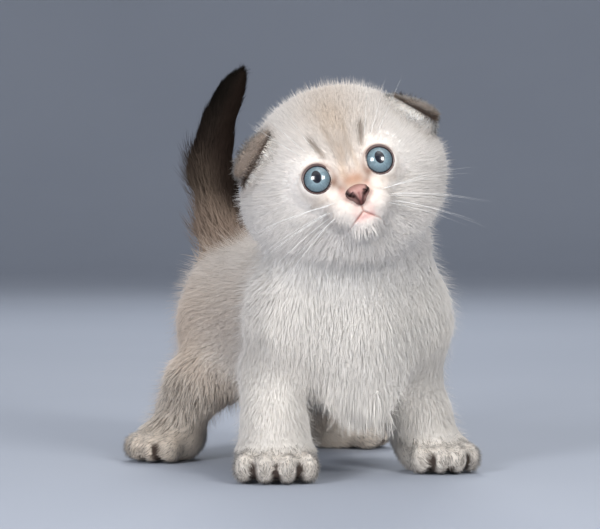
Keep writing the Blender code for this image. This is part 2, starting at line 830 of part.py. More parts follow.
if __name__ == "__main__":
    main()
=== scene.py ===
import math

import bmesh
import bpy
import numpy as np
from mathutils import Euler, Matrix, Vector
from mathutils.kdtree import KDTree


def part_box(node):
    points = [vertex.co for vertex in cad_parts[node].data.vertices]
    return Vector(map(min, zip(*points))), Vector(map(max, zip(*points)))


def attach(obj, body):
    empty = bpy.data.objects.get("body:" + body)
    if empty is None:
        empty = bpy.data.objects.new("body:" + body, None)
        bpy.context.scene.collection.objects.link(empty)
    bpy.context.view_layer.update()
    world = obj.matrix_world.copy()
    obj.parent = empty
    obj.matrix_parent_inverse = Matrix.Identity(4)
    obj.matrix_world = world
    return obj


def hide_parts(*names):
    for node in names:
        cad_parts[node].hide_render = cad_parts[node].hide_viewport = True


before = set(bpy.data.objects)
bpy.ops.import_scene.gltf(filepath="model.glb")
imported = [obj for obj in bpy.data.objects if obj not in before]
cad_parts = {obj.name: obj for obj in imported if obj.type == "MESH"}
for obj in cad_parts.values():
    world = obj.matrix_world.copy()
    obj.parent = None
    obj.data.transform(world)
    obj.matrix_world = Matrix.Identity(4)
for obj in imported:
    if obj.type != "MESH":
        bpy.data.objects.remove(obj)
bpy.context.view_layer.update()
MM = 0.001


# The studio is one pale sheet, floor and wall in one sweep all round, as in a photographer's cove.
# Its wall stands far enough off that a camera on any side is still inside it.
COVE_RADIUS = 3.2
COVE_BEND = 0.9
COVE_HEIGHT = 3.0
COVE_SEGMENTS = 96
COVE_BEND_STEPS = 16
COVE_MIDDLE = 0.3
PAPER_DARK = (0.300, 0.330, 0.390, 1)
PAPER_LIGHT = (0.345, 0.375, 0.435, 1)


def placed(name, data):
    """A new object at the origin that shows a mesh, a light or a camera."""
    thing = bpy.data.objects.new(name, data)
    bpy.context.scene.collection.objects.link(thing)
    return thing


def surface(name, **values):
    """A new material and its shader. A value goes to the socket of its name, with _ for each space."""
    made = bpy.data.materials.new(name)
    made.use_nodes = True
    shader = made.node_tree.nodes["Principled BSDF"]
    for socket, value in values.items():
        shader.inputs[socket.replace("_", " ")].default_value = value
    return made, shader


def add_node(material, kind, **values):
    """A new node of a material, with values for its inputs as above."""
    node = material.node_tree.nodes.new("ShaderNode" + kind)
    for socket, value in values.items():
        node.inputs[socket.replace("_", " ")].default_value = value
    return node


def join(material, output, socket):
    material.node_tree.links.new(output, socket)


cove_outline = [(0.0, 0.0), (COVE_MIDDLE, 0.0), (COVE_RADIUS - COVE_BEND, 0.0)]
for step in range(1, COVE_BEND_STEPS + 1):
    turn = step / COVE_BEND_STEPS * math.pi / 2
    out = COVE_RADIUS - COVE_BEND + COVE_BEND * math.sin(turn)
    cove_outline.append((out, COVE_BEND - COVE_BEND * math.cos(turn)))
cove_outline.append((COVE_RADIUS, COVE_HEIGHT))
cove_points = [(0.0, 0.0, 0.0)]
for out, up in cove_outline[1:]:
    for step in range(COVE_SEGMENTS):
        turn = step / COVE_SEGMENTS * 2 * math.pi
        cove_points.append((out * math.cos(turn), out * math.sin(turn), up))
cove_faces = []
for step in range(COVE_SEGMENTS):
    after = (step + 1) % COVE_SEGMENTS
    cove_faces.append((0, 1 + step, 1 + after))
    for ring in range(len(cove_outline) - 2):
        low = 1 + ring * COVE_SEGMENTS
        high = low + COVE_SEGMENTS
        cove_faces.append((low + step, high + step, high + after, low + after))
cove_mesh = bpy.data.meshes.new("studio_floor")
cove_mesh.from_pydata(cove_points, [], cove_faces)
cove_mesh.shade_smooth()
cove = placed("studio_floor", cove_mesh)
paper, paper_shader = surface("pale_studio_paper", Roughness=0.75, Specular_IOR_Level=0.25)
paper_place = add_node(paper, "TexCoord")
paper_grain = add_node(paper, "TexNoise", Scale=3.0, Detail=3.0)
paper_tones = add_node(paper, "ValToRGB")
paper_tones.color_ramp.elements[0].color = PAPER_DARK
paper_tones.color_ramp.elements[1].color = PAPER_LIGHT
join(paper, paper_place.outputs["Object"], paper_grain.inputs["Vector"])
join(paper, paper_grain.outputs["Fac"], paper_tones.inputs["Fac"])
join(paper, paper_tones.outputs["Color"], paper_shader.inputs["Base Color"])
cove_mesh.materials.append(paper)


# The camera stands a metre off at the height of the head, a little to the kitten's right, with a long
# lens. It is aimed past the head so that the whole kitten fills the picture as in the photograph.
HEAD_CENTRE = Vector((-2.983, -52.190, 110.7)) * MM
CAMERA_SIDE = -21.0
CAMERA_AWAY = 1.0
CAMERA_HIGH = 0.110
CAMERA_LENS = 163.8
CAMERA_AIM_SIDE = 0.902
CAMERA_AIM_DOWN = 1.773
camera_data = bpy.data.cameras.new("camera")
camera_data.lens = CAMERA_LENS
camera_data.sensor_width = 36.0
camera_data.clip_start = 0.01
camera_data.clip_end = 20.0
camera = placed("camera", camera_data)
camera_turn = math.radians(CAMERA_SIDE)
camera.location = (
    HEAD_CENTRE.x + CAMERA_AWAY * math.sin(camera_turn),
    HEAD_CENTRE.y - CAMERA_AWAY * math.cos(camera_turn),
    CAMERA_HIGH,
)
camera.rotation_euler = (
    math.radians(90 - CAMERA_AIM_DOWN),
    0,
    math.radians(CAMERA_SIDE + CAMERA_AIM_SIDE),
)
bpy.context.scene.camera = camera
bpy.context.scene.view_settings.view_transform = "Standard"


# The light is soft: a large box each side of the camera, which the eyes mirror as two pale spots, a low
# one in front that fills the throat, one above for the back, and a rim light that draws the coat's edge.
def soft_box(name, side, high, away, size, watts, tint, mirrored=True):
    """A lit panel at so many degrees round and up from the head, and so many metres off it."""
    data = bpy.data.lights.new(name, "AREA")
    data.shape = "RECTANGLE"
    data.size = size[0]
    data.size_y = size[1]
    data.energy = watts
    data.color = tint
    box = placed(name, data)
    turn = math.radians(side)
    rise = math.radians(high)
    back = Vector((math.sin(turn) * math.cos(rise), -math.cos(turn) * math.cos(rise), math.sin(rise)))
    box.location = HEAD_CENTRE + back * away
    box.rotation_mode = "QUATERNION"
    box.rotation_quaternion = (-back).to_track_quat("-Z", "Y")
    box.visible_glossy = mirrored


EYE_BOX = (0.36, 0.42)
soft_box("key_box", CAMERA_SIDE + 34, 24, 1.3, EYE_BOX, 11.5, (1.0, 0.985, 0.96))
soft_box("fill_box", CAMERA_SIDE - 34, 20, 1.4, EYE_BOX, 13.5, (0.985, 0.985, 1.0))
soft_box("front_box", CAMERA_SIDE, -3, 1.3, (0.8, 0.5), 6.0, (1.0, 0.99, 0.98), mirrored=False)
soft_box("top_box", 20, 75, 1.4, (0.9, 0.9), 3.5, (1.0, 1.0, 1.0))
soft_box("rim_box", 160, 35, 1.5, (0.5, 0.7), 7.0, (0.98, 0.99, 1.0))
room = bpy.data.worlds.new("studio_room")
room.use_nodes = True
room.node_tree.nodes["Background"].inputs["Color"].default_value = (0.96, 0.97, 1.0, 1)
room.node_tree.nodes["Background"].inputs["Strength"].default_value = 0.72
bpy.context.scene.world = room


# The skin is the kitten's whole body in one closed surface, from nose to tail tip. It is cast from the
# flesh solids, fused where they were parted, evened out, and let in by the depth of the coat.
HEAD_TURN = (-8.0, -17.4, -14.8)
EYE_BALL = 7.4
EYE_APART = 11.1
EYE_FORWARD = 20.9
EYE_ABOVE = -0.9
EYE_OUTWARD = 6.0
EYE_UPWARD = 4.0
SKIN_GRID = 1.25
SEAM_CLOSE = 0.36
head_basis = (
    Matrix.Rotation(math.radians(HEAD_TURN[2]), 3, "Z")
    @ Matrix.Rotation(math.radians(HEAD_TURN[1]), 3, "Y")
    @ Matrix.Rotation(math.radians(HEAD_TURN[0]), 3, "X")
)
eye_middle = Vector()
for node in ("eye_left", "eye_right"):
    eye_middle += (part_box(node)[0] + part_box(node)[1]) / 4
head_place = eye_middle - head_basis @ (Vector((0, -EYE_FORWARD, EYE_ABOVE)) * MM)
head_axes = np.array(head_basis)
head_origin = np.array(head_place)


def to_head(points):
    """Points in the head's own millimetres: X to its left, Y to its back, Z to its crown."""
    return (points - head_origin) @ head_axes / MM


def from_head(points):
    """The head's millimetres turned back into the frame's metres."""
    return np.asarray(points) * MM @ head_axes.T + head_origin


eye_axes = {}
eye_centres = {}
for side in (-1, 1):
    eye_turn = Euler((math.radians(-EYE_UPWARD), 0, math.radians(side * EYE_OUTWARD))).to_matrix()
    eye_axes[side] = np.array(eye_turn)
    eye_centres[side] = np.array((side * EYE_APART, -EYE_FORWARD, EYE_ABOVE))


def to_eye(local, side):
    """Head millimetres turned into an eye's own, which looks along -Y."""
    return (local - eye_centres[side]) @ eye_axes[side]


def from_eye(points, side):
    """An eye's own millimetres turned back into the head's."""
    return np.asarray(points) @ eye_axes[side].T + eye_centres[side]


# The tail's middle line and how thick its core is there, which its coat then stands on.
TAIL_ROUTE = [
    (-1.0, 54.0, 66, 19.0),
    (-3.0, 60.0, 76, 16.5),
    (-6.2, 66.8, 86, 13.4),
    (-10.2, 71.5, 100, 10.4),
    (-12.2, 74.5, 116, 8.6),
    (-9.4, 74.5, 132, 6.6),
    (-4.4, 72.5, 146, 5.2),
    (-1.9, 71.0, 151, 3.8),
    (-0.4, 69.8, 154.5, 1.4),
]
TAIL_RINGS = 40
TAIL_CUT = 92
TAIL_AROUND = 24
FLESH = [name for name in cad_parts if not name.startswith(("eye_", "nose"))]


def swollen(name, by):
    """A copy of a node's mesh, with its loose triangles joined and its faces pushed out by millimetres."""
    shell = bmesh.new()
    shell.from_mesh(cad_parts[name].data)
    bmesh.ops.remove_doubles(shell, verts=shell.verts, dist=1e-6)
    shell.normal_update()
    for vert in shell.verts:
        vert.co += vert.normal * by * MM
    swollen_mesh = bpy.data.meshes.new(name)
    shell.to_mesh(swollen_mesh)
    shell.free()
    return swollen_mesh


def fused(cast_mesh, grid, name):
    """One closed mesh laid over all that a cast holds, from cubes of so many millimetres."""
    cast_object = placed(cast_mesh.name, cast_mesh)
    fuse = cast_object.modifiers.new("fuse", "REMESH")
    fuse.mode = "VOXEL"
    fuse.voxel_size = grid * MM
    result = cast_object.evaluated_get(bpy.context.evaluated_depsgraph_get())
    fused_mesh = bpy.data.meshes.new_from_object(result)
    fused_mesh.name = name
    bpy.data.objects.remove(cast_object)
    return fused_mesh


cast_names = FLESH + ["eye_left", "eye_right"]
parts = [swollen(name, SEAM_CLOSE) for name in cast_names]
whole = bmesh.new()
for part, name in zip(parts, cast_names):
    if name == "tail_root":
        stump = bmesh.new()
        stump.from_mesh(part)
        every = stump.verts[:] + stump.edges[:] + stump.faces[:]
        cut_at = Vector((0, 0, TAIL_CUT * MM))
        bmesh.ops.bisect_plane(stump, geom=every, plane_co=cut_at, plane_no=(0, 0, 1), clear_outer=True)
        bmesh.ops.holes_fill(stump, edges=[edge for edge in stump.edges if edge.is_boundary])
        stump.to_mesh(part)
        stump.free()
    if name not in ("tail_middle", "tail_tip"):
        whole.from_mesh(part)
tail_rows = np.array(TAIL_ROUTE)
tail_levels = np.linspace(tail_rows[0, 2], tail_rows[-1, 2], TAIL_RINGS)
tail_way = np.column_stack([np.interp(tail_levels, tail_rows[:, 2], tail_rows[:, k]) for k in range(4)])
tail_runs = np.gradient(tail_way[:, :3], axis=0)
tail_points = []
tail_faces = [tuple(range(TAIL_AROUND))]
for level, run in zip(tail_way, tail_runs):
    run = run / np.linalg.norm(run)
    aside = np.cross(run, (0, 1, 0))
    aside = aside / np.linalg.norm(aside)
    ahead = np.cross(run, aside)
    for step in range(TAIL_AROUND):
        turn = step / TAIL_AROUND * 2 * math.pi
        tail_points.append((level[:3] + (aside * math.cos(turn) + ahead * math.sin(turn)) * level[3]) * MM)
for ring in range(TAIL_RINGS - 1):
    for step in range(TAIL_AROUND):
        low = ring * TAIL_AROUND + step
        after = ring * TAIL_AROUND + (step + 1) % TAIL_AROUND
        tail_faces.append((low, after, after + TAIL_AROUND, low + TAIL_AROUND))
tail_faces.append(tuple(range(len(tail_points) - TAIL_AROUND, len(tail_points))))
tail_mesh = bpy.data.meshes.new("tail_cast")
tail_mesh.from_pydata([tuple(point) for point in tail_points], [], tail_faces)
whole.from_mesh(tail_mesh)
bmesh.ops.recalc_face_normals(whole, faces=whole.faces)
cast = bpy.data.meshes.new("skin_cast")
whole.to_mesh(cast)
whole.free()
skin_mesh = fused(cast, SKIN_GRID, "skin")

# Only the largest closed surface of the cast is kept, so no scrap of a cut floats beside the kitten.
one = bmesh.new()
one.from_mesh(skin_mesh)
left = set(one.verts)
islands = []
while left:
    waiting = [left.pop()]
    island = list(waiting)
    while waiting:
        for edge in waiting.pop().link_edges:
            for vert in edge.verts:
                if vert in left:
                    left.remove(vert)
                    waiting.append(vert)
                    island.append(vert)
    islands.append(island)
islands.sort(key=len)
for island in islands[:-1]:
    bmesh.ops.delete(one, geom=island, context="VERTS")
one.to_mesh(skin_mesh)
one.free()


def places_of(mesh):
    """A mesh's points as rows of X, Y and Z."""
    places = np.empty(len(mesh.vertices) * 3)
    mesh.vertices.foreach_get("co", places)
    return places.reshape(-1, 3)


def set_places(mesh, places):
    mesh.vertices.foreach_set("co", places.ravel())
    mesh.update()


def edges_of(mesh):
    edges = np.empty(len(mesh.edges) * 2, dtype=np.int64)
    mesh.edges.foreach_get("vertices", edges)
    return edges.reshape(-1, 2)


def normals_of(mesh):
    normals = np.empty(len(mesh.vertices) * 3)
    mesh.vertex_normals.foreach_get("vector", normals)
    return normals.reshape(-1, 3)


def evened(values, edges, rounds, share):
    """Each value is drawn towards the mean of its neighbours, by its share, a number of times."""
    count = len(values)
    ties = np.bincount(edges.ravel(), minlength=count).reshape(-1, 1)
    values = np.array(values, dtype=float).reshape(count, -1)
    share = np.asarray(share, dtype=float).reshape(-1, 1)
    for _ in range(rounds):
        sums = np.empty_like(values)
        for column in range(values.shape[1]):
            kept = values[:, column]
            sums[:, column] = np.bincount(edges[:, 0], kept[edges[:, 1]], count)
            sums[:, column] += np.bincount(edges[:, 1], kept[edges[:, 0]], count)
        values = values + (sums / ties - values) * share
    return values


def unit(vectors):
    """The rows, each made one long."""
    return vectors / np.maximum(np.linalg.norm(vectors, axis=1, keepdims=True), 1e-12)


# Each part's coat, in millimetres: how deep it lies over the skin, how long its tufts are and how wide,
# how many stand on a square millimetre, how many degrees they rise, and how far the solid is evened.
COATS = {
    "head": (1.6, 4.2, 0.30, 4.6, 24, 5),
    "ear_left": (0.45, 2.8, 0.26, 6.5, 20, 2),
    "ear_right": (0.45, 2.8, 0.26, 6.5, 20, 2),
    "jaw": (2.0, 5.0, 0.26, 3.4, 17, 6),
    "neck": (3.4, 7.5, 0.27, 2.9, 15, 14),
    "torso": (3.6, 8.5, 0.27, 2.9, 15, 16),
    "foreleg_left": (2.4, 5.5, 0.28, 3.2, 16, 10),
    "foreleg_right": (2.4, 5.5, 0.28, 3.2, 16, 10),
    "forepaw_left": (1.1, 3.2, 0.31, 4.4, 24, 2),
    "forepaw_right": (1.1, 3.2, 0.31, 4.4, 24, 2),
    "hindleg_left": (2.6, 6.5, 0.29, 2.7, 18, 10),
    "hindleg_right": (2.6, 6.5, 0.29, 2.7, 18, 10),
    "hindpaw_left": (1.2, 3.1, 0.30, 4.2, 24, 2),
    "hindpaw_right": (1.2, 3.1, 0.30, 4.2, 24, 2),
    "tail_root": (2.0, 8.0, 0.30, 3.0, 16, 40),
    "tail_middle": (0.6, 7.5, 0.28, 4.2, 14, 4),
    "tail_tip": (0.4, 5.0, 0.26, 6.0, 14, 3),
}
JAW_LEVEL = -21
PAW_TOP = 15
LOW_CHEST_FRONT = -15
LOW_CHEST_TOP = 52
LOW_CHEST_ROUNDS = 46
SMOOTHING = 0.6
near_part = KDTree(sum(len(part.vertices) + len(part.polygons) for part in parts))
near_names = []
for part, name in zip(parts, FLESH + ["head", "head"]):
    for place in [vert.co for vert in part.vertices] + [face.center for face in part.polygons]:
        near_part.insert(place, len(near_names))
        near_names.append(name)
near_part.balance()


def part_names(places):
    """Which solid each place is nearest to."""
    return np.array([near_names[near_part.find(place)[1]] for place in places])


skin_places = places_of(skin_mesh)
skin_edges = edges_of(skin_mesh)
skin_parts = part_names(skin_places)
rounds_wanted = np.array([COATS[name][5] for name in skin_parts], dtype=float)
low_chest = (skin_parts == "torso") & (skin_places[:, 1] < LOW_CHEST_FRONT * MM)
rounds_wanted[low_chest & (skin_places[:, 2] < LOW_CHEST_TOP * MM)] = LOW_CHEST_ROUNDS
rounds_wanted = evened(rounds_wanted, skin_edges, 6, 0.5).ravel()
for step in range(int(rounds_wanted.max())):
    going = np.clip(rounds_wanted - step, 0, 1) * SMOOTHING
    skin_places = evened(skin_places, skin_edges, 1, going)
set_places(skin_mesh, skin_places)

# The ears and the face have finer cells than the body, as their forms are smaller.
FACE_CUTS = 3
EAR_CUTS = 2
FACE_FRONT = -12
FACE_WIDE = 21
FACE_LOW = -24
FACE_HIGH = 11
finer = bmesh.new()
finer.from_mesh(skin_mesh)
finer.faces.ensure_lookup_table()
on_ear = np.char.startswith(skin_parts, "ear")
ear_faces = [face for face in finer.faces if all(on_ear[vert.index] for vert in face.verts)]
ear_edges = {edge for face in ear_faces for edge in face.edges}
bmesh.ops.subdivide_edges(finer, edges=list(ear_edges), cuts=EAR_CUTS, use_grid_fill=True)
finer.faces.ensure_lookup_table()
middles = to_head(np.array([face.calc_center_median() for face in finer.faces]))
in_face = (middles[:, 1] < FACE_FRONT) & (np.abs(middles[:, 0]) < FACE_WIDE)
in_face &= (middles[:, 2] > FACE_LOW) & (middles[:, 2] < FACE_HIGH)
face_edges = {edge for index in np.flatnonzero(in_face) for edge in finer.faces[index].edges}
bmesh.ops.subdivide_edges(finer, edges=list(face_edges), cuts=FACE_CUTS, use_grid_fill=True)
bmesh.ops.triangulate(finer, faces=finer.faces)
finer.to_mesh(skin_mesh)
finer.free()
skin_places = places_of(skin_mesh)
skin_edges = edges_of(skin_mesh)
skin_parts = part_names(skin_places)
skin_local = to_head(skin_places)
face_share = np.clip((-skin_local[:, 1] - 11) / 3, 0, 1) * (skin_parts == "head")
skin_places = evened(skin_places, skin_edges, 8, face_share * 0.5)
skin_local = to_head(skin_places)

# The skin is let in by the coat's depth, which is least round the eyes and on the muzzle.
MUZZLE = (0, -30, -12)
SKIN_LOWEST = 0.25
coat_parts = skin_parts.copy()
coat_parts[(skin_parts == "head") & (skin_local[:, 2] < JAW_LEVEL)] = "jaw"
for side in ("left", "right"):
    over_paw = (skin_parts == "hindpaw_" + side) & (skin_places[:, 2] > PAW_TOP * MM)
    coat_parts[over_paw] = "hindleg_" + side
coat_depth = evened(np.array([COATS[name][0] for name in coat_parts]), skin_edges, 14, 0.5).ravel()
eye_reach = np.minimum(
    np.linalg.norm(to_eye(skin_local, -1), axis=1), np.linalg.norm(to_eye(skin_local, 1), axis=1)
)
muzzle_reach = np.linalg.norm(skin_local - MUZZLE, axis=1)
coat_depth *= np.clip((eye_reach - 7.0) / 5.0, 0.15, 1)
coat_depth *= np.clip((muzzle_reach - 4.0) / 9.0, 0.25, 1)
set_places(skin_mesh, skin_places)
skin_places = skin_places - normals_of(skin_mesh) * (coat_depth * MM).reshape(-1, 1)
skin_places = evened(skin_places, skin_edges, 3, np.clip(coat_depth / 2.5, 0, 1) * 0.5)
skin_places[:, 2] = np.maximum(skin_places[:, 2], SKIN_LOWEST * MM)


# The face is worked into the skin: the lids are drawn tight over the eyeballs and open on them,
# and the line of the mouth runs from under the nose to its corners, with the lips parted by it.
LID_LAYER = 0.55
LID_REACH = 6
LID_OPEN = 5.15
LID_CORNER = 0.35
LID_CORNER_AT = -17.5
LID_CORNER_WIDE = 0.24
SOCKET_DEEP = 1.6
MOUTH_LINE = [(0.0, -14.0), (0.0, -16.7), (1.4, -17.8), (3.4, -19.2), (5.2, -20.4), (6.8, -21.2)]
MOUTH_FRONT = -20
MOUTH_DEEP = 0.5
MOUTH_WIDE = 0.36


def near(away, spread):
    """One at nothing away, falling off smoothly to nothing over a few times the spread."""
    return np.exp(-((away / spread) ** 2))


def off_corner(turn, side):
    """How far an angle round an eye is from its inner corner."""
    corner = math.radians(180 - LID_CORNER_AT if side > 0 else LID_CORNER_AT)
    return np.angle(np.exp(1j * (turn - corner)))


def lid_open(turn, side):
    """The opening's radius in millimetres at an angle round the eye, longer at the inner corner."""
    return LID_OPEN + LID_CORNER * near(off_corner(turn, side), LID_CORNER_WIDE)


def off_line(points, line):
    """How far each point is from a run of straight stretches."""
    best = np.full(len(points), 1e9)
    for start, end in zip(line[:-1], line[1:]):
        start = np.array(start, dtype=float)
        run = np.array(end, dtype=float) - start
        along = np.clip((points - start) @ run / (run @ run), 0, 1)
        best = np.minimum(best, np.linalg.norm(points - start - along[:, None] * run, axis=1))
    return best


skin_local = to_head(skin_places)
for side in (-1, 1):
    seen = to_eye(skin_local, side)
    reach = np.linalg.norm(seen, axis=1)
    ring = np.hypot(seen[:, 0], seen[:, 2])
    opening = lid_open(np.arctan2(seen[:, 2], seen[:, 0]), side)
    front = (seen[:, 1] < 0) & (reach < EYE_BALL + LID_REACH)
    lid = front & (ring >= opening) & (reach < EYE_BALL + LID_LAYER)
    hidden = front & (ring < opening)
    wanted = np.where(lid, EYE_BALL + LID_LAYER, reach)
    wanted = np.where(hidden, EYE_BALL - SOCKET_DEEP * np.clip((opening - ring) / 0.5, 0.1, 1), wanted)
    seen = seen / np.maximum(reach, 1e-9)[:, None] * wanted[:, None]
    skin_local = np.where((lid | hidden)[:, None], from_eye(seen, side), skin_local)
face_front = (skin_local[:, 1] < MOUTH_FRONT) & (np.abs(skin_local[:, 0]) < 12)
mouth_off = off_line(np.column_stack([np.abs(skin_local[:, 0]), skin_local[:, 2]]), MOUTH_LINE)
skin_local[:, 1] += np.where(face_front, MOUTH_DEEP * near(mouth_off, MOUTH_WIDE), 0)
skin_places = from_head(skin_local)


# The toes are parted by clefts, pressed into the front of each paw. A paw is given by the middle of its
# sole in millimetres, the way it points in degrees, how wide it is and how long.
PAWS = {
    "forepaw_right": ((-27.0, -46.2), -19.0, 32, 24),
    "forepaw_left": ((41.0, -35.2), -4.0, 28, 24),
    "hindpaw_right": ((-41.5, 36.8), -60.0, 27, 22),
    "hindpaw_left": ((41.0, 60.3), 66.0, 26, 22),
}
CLEFTS = (-0.68, 0.0, 0.68)
CLEFT_WIDE = 0.9
CLEFT_DEEP = 0.6


def in_clefts(places, wide):
    """How far each place lies in the slots between the toes, from none to one."""
    depth = np.zeros(len(places))
    for (paw_x, paw_y), paw_turn, paw_wide, paw_long in PAWS.values():
        toward = math.radians(paw_turn)
        own = (places / MM)[:, :2] - (paw_x, paw_y)
        aside = own @ (math.cos(toward), math.sin(toward))
        ahead = own @ (math.sin(toward), -math.cos(toward)) - paw_long / 2
        high = places[:, 2] / MM
        here = (np.abs(aside) < paw_wide / 2 + 2) & (ahead < 6) & (high < 16)
        reach = np.clip((ahead + 6.5) / 3.0, 0, 1) * np.clip((9.0 - high) / 3, 0, 1) * here
        for cleft in CLEFTS:
            off = aside - cleft * (paw_wide / 2 - 4.8) * (1 + 0.03 * ahead)
            depth = np.maximum(depth, reach * near(off, wide))
    return depth


set_places(skin_mesh, skin_places)
skin_places -= normals_of(skin_mesh) * (in_clefts(skin_places, CLEFT_WIDE) * CLEFT_DEEP * MM)[:, None]
set_places(skin_mesh, skin_places)
skin_mesh.shade_smooth()
skin = placed("skin", skin_mesh)
skin_normals = normals_of(skin_mesh)


# The coat's colours are a pale colourpoint kitten's: cream on the face and chest, warm beige on the
# flanks and crown, taupe towards the rump, and a tail that darkens to brown-black at its tip.
def linear(colour):
    """A colour of 0 to 255 as the light it stands for, which materials reckon in."""
    parts_of_one = np.asarray(colour, dtype=float) / 255
    return np.where(parts_of_one <= 0.04045, parts_of_one / 12.92, ((parts_of_one + 0.055) / 1.055) ** 2.4)


def laid_over(shades, colour, share):
    """The shades drawn towards a colour, by each point's share."""
    return shades + (linear(colour) - shades) * share[:, None]


BASE_COLOURS = {
    "head": (238, 231, 224),
    "ear_left": (186, 172, 160),
    "ear_right": (178, 163, 150),
    "neck": (242, 237, 231),
    "torso": (240, 234, 226),
    "foreleg_left": (238, 231, 222),
    "foreleg_right": (238, 231, 222),
    "forepaw_left": (226, 218, 208),
    "forepaw_right": (226, 218, 208),
    "hindleg_left": (226, 208, 190),
    "hindleg_right": (226, 208, 190),
    "hindpaw_left": (222, 208, 192),
    "hindpaw_right": (222, 208, 192),
    "tail_root": (126, 110, 98),
    "tail_middle": (64, 53, 46),
    "tail_tip": (40, 34, 30),
}
TAIL_TONES = [
    (68, (200, 180, 162)),
    (86, (142, 124, 110)),
    (104, (82, 71, 62)),
    (120, (38, 31, 27)),
    (140, (18, 15, 12)),
]
TAIL_INSIDE = (34, 26, 22)
TAIL_INSIDE_FROM = 84
TOWARDS_HEAD = (0.93, -0.36, 0.0)

# The fold of each ear lies in a plane of the head: past it the ear's dark back shows, painted darker along
# the fold as shade and darker towards its lower end; before it a strip of its cream inside, and nearest the
# face painted shade under its edge.
EARS = {"ear_right": -38.0, "ear_left": 36.0}
EAR_FOLDS = {
    "ear_right": ((-0.697, -0.036, 0.716), 30.7, 28.3),
    "ear_left": ((0.728, -0.183, 0.660), 34.9, 31.7),
}
EAR_BACK = (182, 163, 148)
EAR_FOLD_SHADE = (58, 44, 37)
EAR_CREAM = (236, 229, 220)
EAR_UNDER_SHADE = (206, 198, 191)

# Washes of colour over the base: from a point to a point in the head's or the body's millimetres, how
# far they spread, the colour and its strength.
HEAD_WASHES = [
    ((3, -8, 30), (1, -20, 19), 13.0, (206, 184, 162), 0.60),
    ((0, -20, 20), (0.5, -27, 6), 4.5, (204, 182, 160), 0.55),
    ((8.8, -24.5, 12.8), (7.3, -26.2, 7.2), 1.25, (100, 82, 66), 0.80),
    ((-8.8, -25, 12.2), (-7.0, -26.5, 6.4), 1.15, (100, 82, 66), 0.80),
    ((3.0, -24, 15), (2.2, -27, 7), 0.9, (166, 142, 118), 0.45),
    ((-3.2, -24, 15), (-2.4, -27, 7), 0.9, (166, 142, 118), 0.45),
    ((-7, -27, -12.5), (7, -27, -12.5), 6.0, (220, 204, 192), 0.5),
    ((0, -30, -11), (0, -28, 2), 8.5, (206, 193, 182), 0.80),
    ((-1.4, -31, -4.6), (2.0, -31, -4.8), 3.0, (172, 130, 104), 0.85),
    ((-0.5, -27, 6), (-2.6, -29.5, -2), 1.6, (196, 170, 146), 0.55),
    ((2.6, -27, 6), (3.6, -29.5, -1), 1.0, (200, 176, 152), 0.45),
    ((-4.6, -30, -7.0), (-7.0, -26.5, -3.0), 1.5, (120, 86, 66), 0.80),
    ((4.7, -30, -6.8), (7.0, -26.5, -3.0), 1.4, (126, 92, 72), 0.75),
    ((-15, -21.5, -8.6), (-10.6, -25, -8.2), 1.0, (150, 126, 102), 0.55),
    ((16, -21.5, -7.6), (10.6, -25, -7.6), 0.9, (150, 126, 102), 0.50),
    ((-4.8, -29, -8), (-4.2, -30, -11), 1.6, (222, 178, 166), 0.55),
    ((4.8, -29, -8), (4.2, -30, -11), 1.6, (222, 178, 166), 0.55),
    ((-3.0, -31.5, -15.4), (-1.4, -31.5, -14.0), 1.8, (222, 180, 172), 0.45),
    ((3.0, -31.5, -15.4), (1.4, -31.5, -14.0), 1.8, (222, 180, 172), 0.45),
    ((-2.2, -31, -18.6), (2.6, -31, -18.4), 1.5, (212, 156, 150), 0.65),
    ((18.7, -20, -7.4), (19.5, -19, -8.4), 1.8, (186, 176, 164), 0.40),
]
BODY_WASHES = [
    ((-36, 0, 62), (-34, 40, 60), 26.0, (216, 194, 174), 0.80),
    ((44, 0, 62), (36, 40, 60), 26.0, (216, 196, 178), 0.70),
    ((4, -10, 98), (2, 50, 92), 20.0, (196, 174, 154), 0.80),
    ((2, 55, 88), (0, 60, 60), 18.0, (186, 164, 146), 0.60),
    ((-33, -52, 33), (-16, -60, 31), 1.6, (186, 164, 142), 0.50),
    ((-33, -52, 27), (-18, -58, 25), 1.3, (190, 168, 146), 0.35),
]

# A wash that spreads less than this is a mark on the face, drawn from the front.
FINE_MARK = 5.0
FACE_ONLY = -14
NOWHERE = 1e3
CLEFT_FUR_AND_SHADE = (46, 31, 25)
LID_SHADE_BROWN = (140, 114, 102)
LID_CREAM = (224, 213, 202)
TEAR_BROWN = (128, 96, 78)


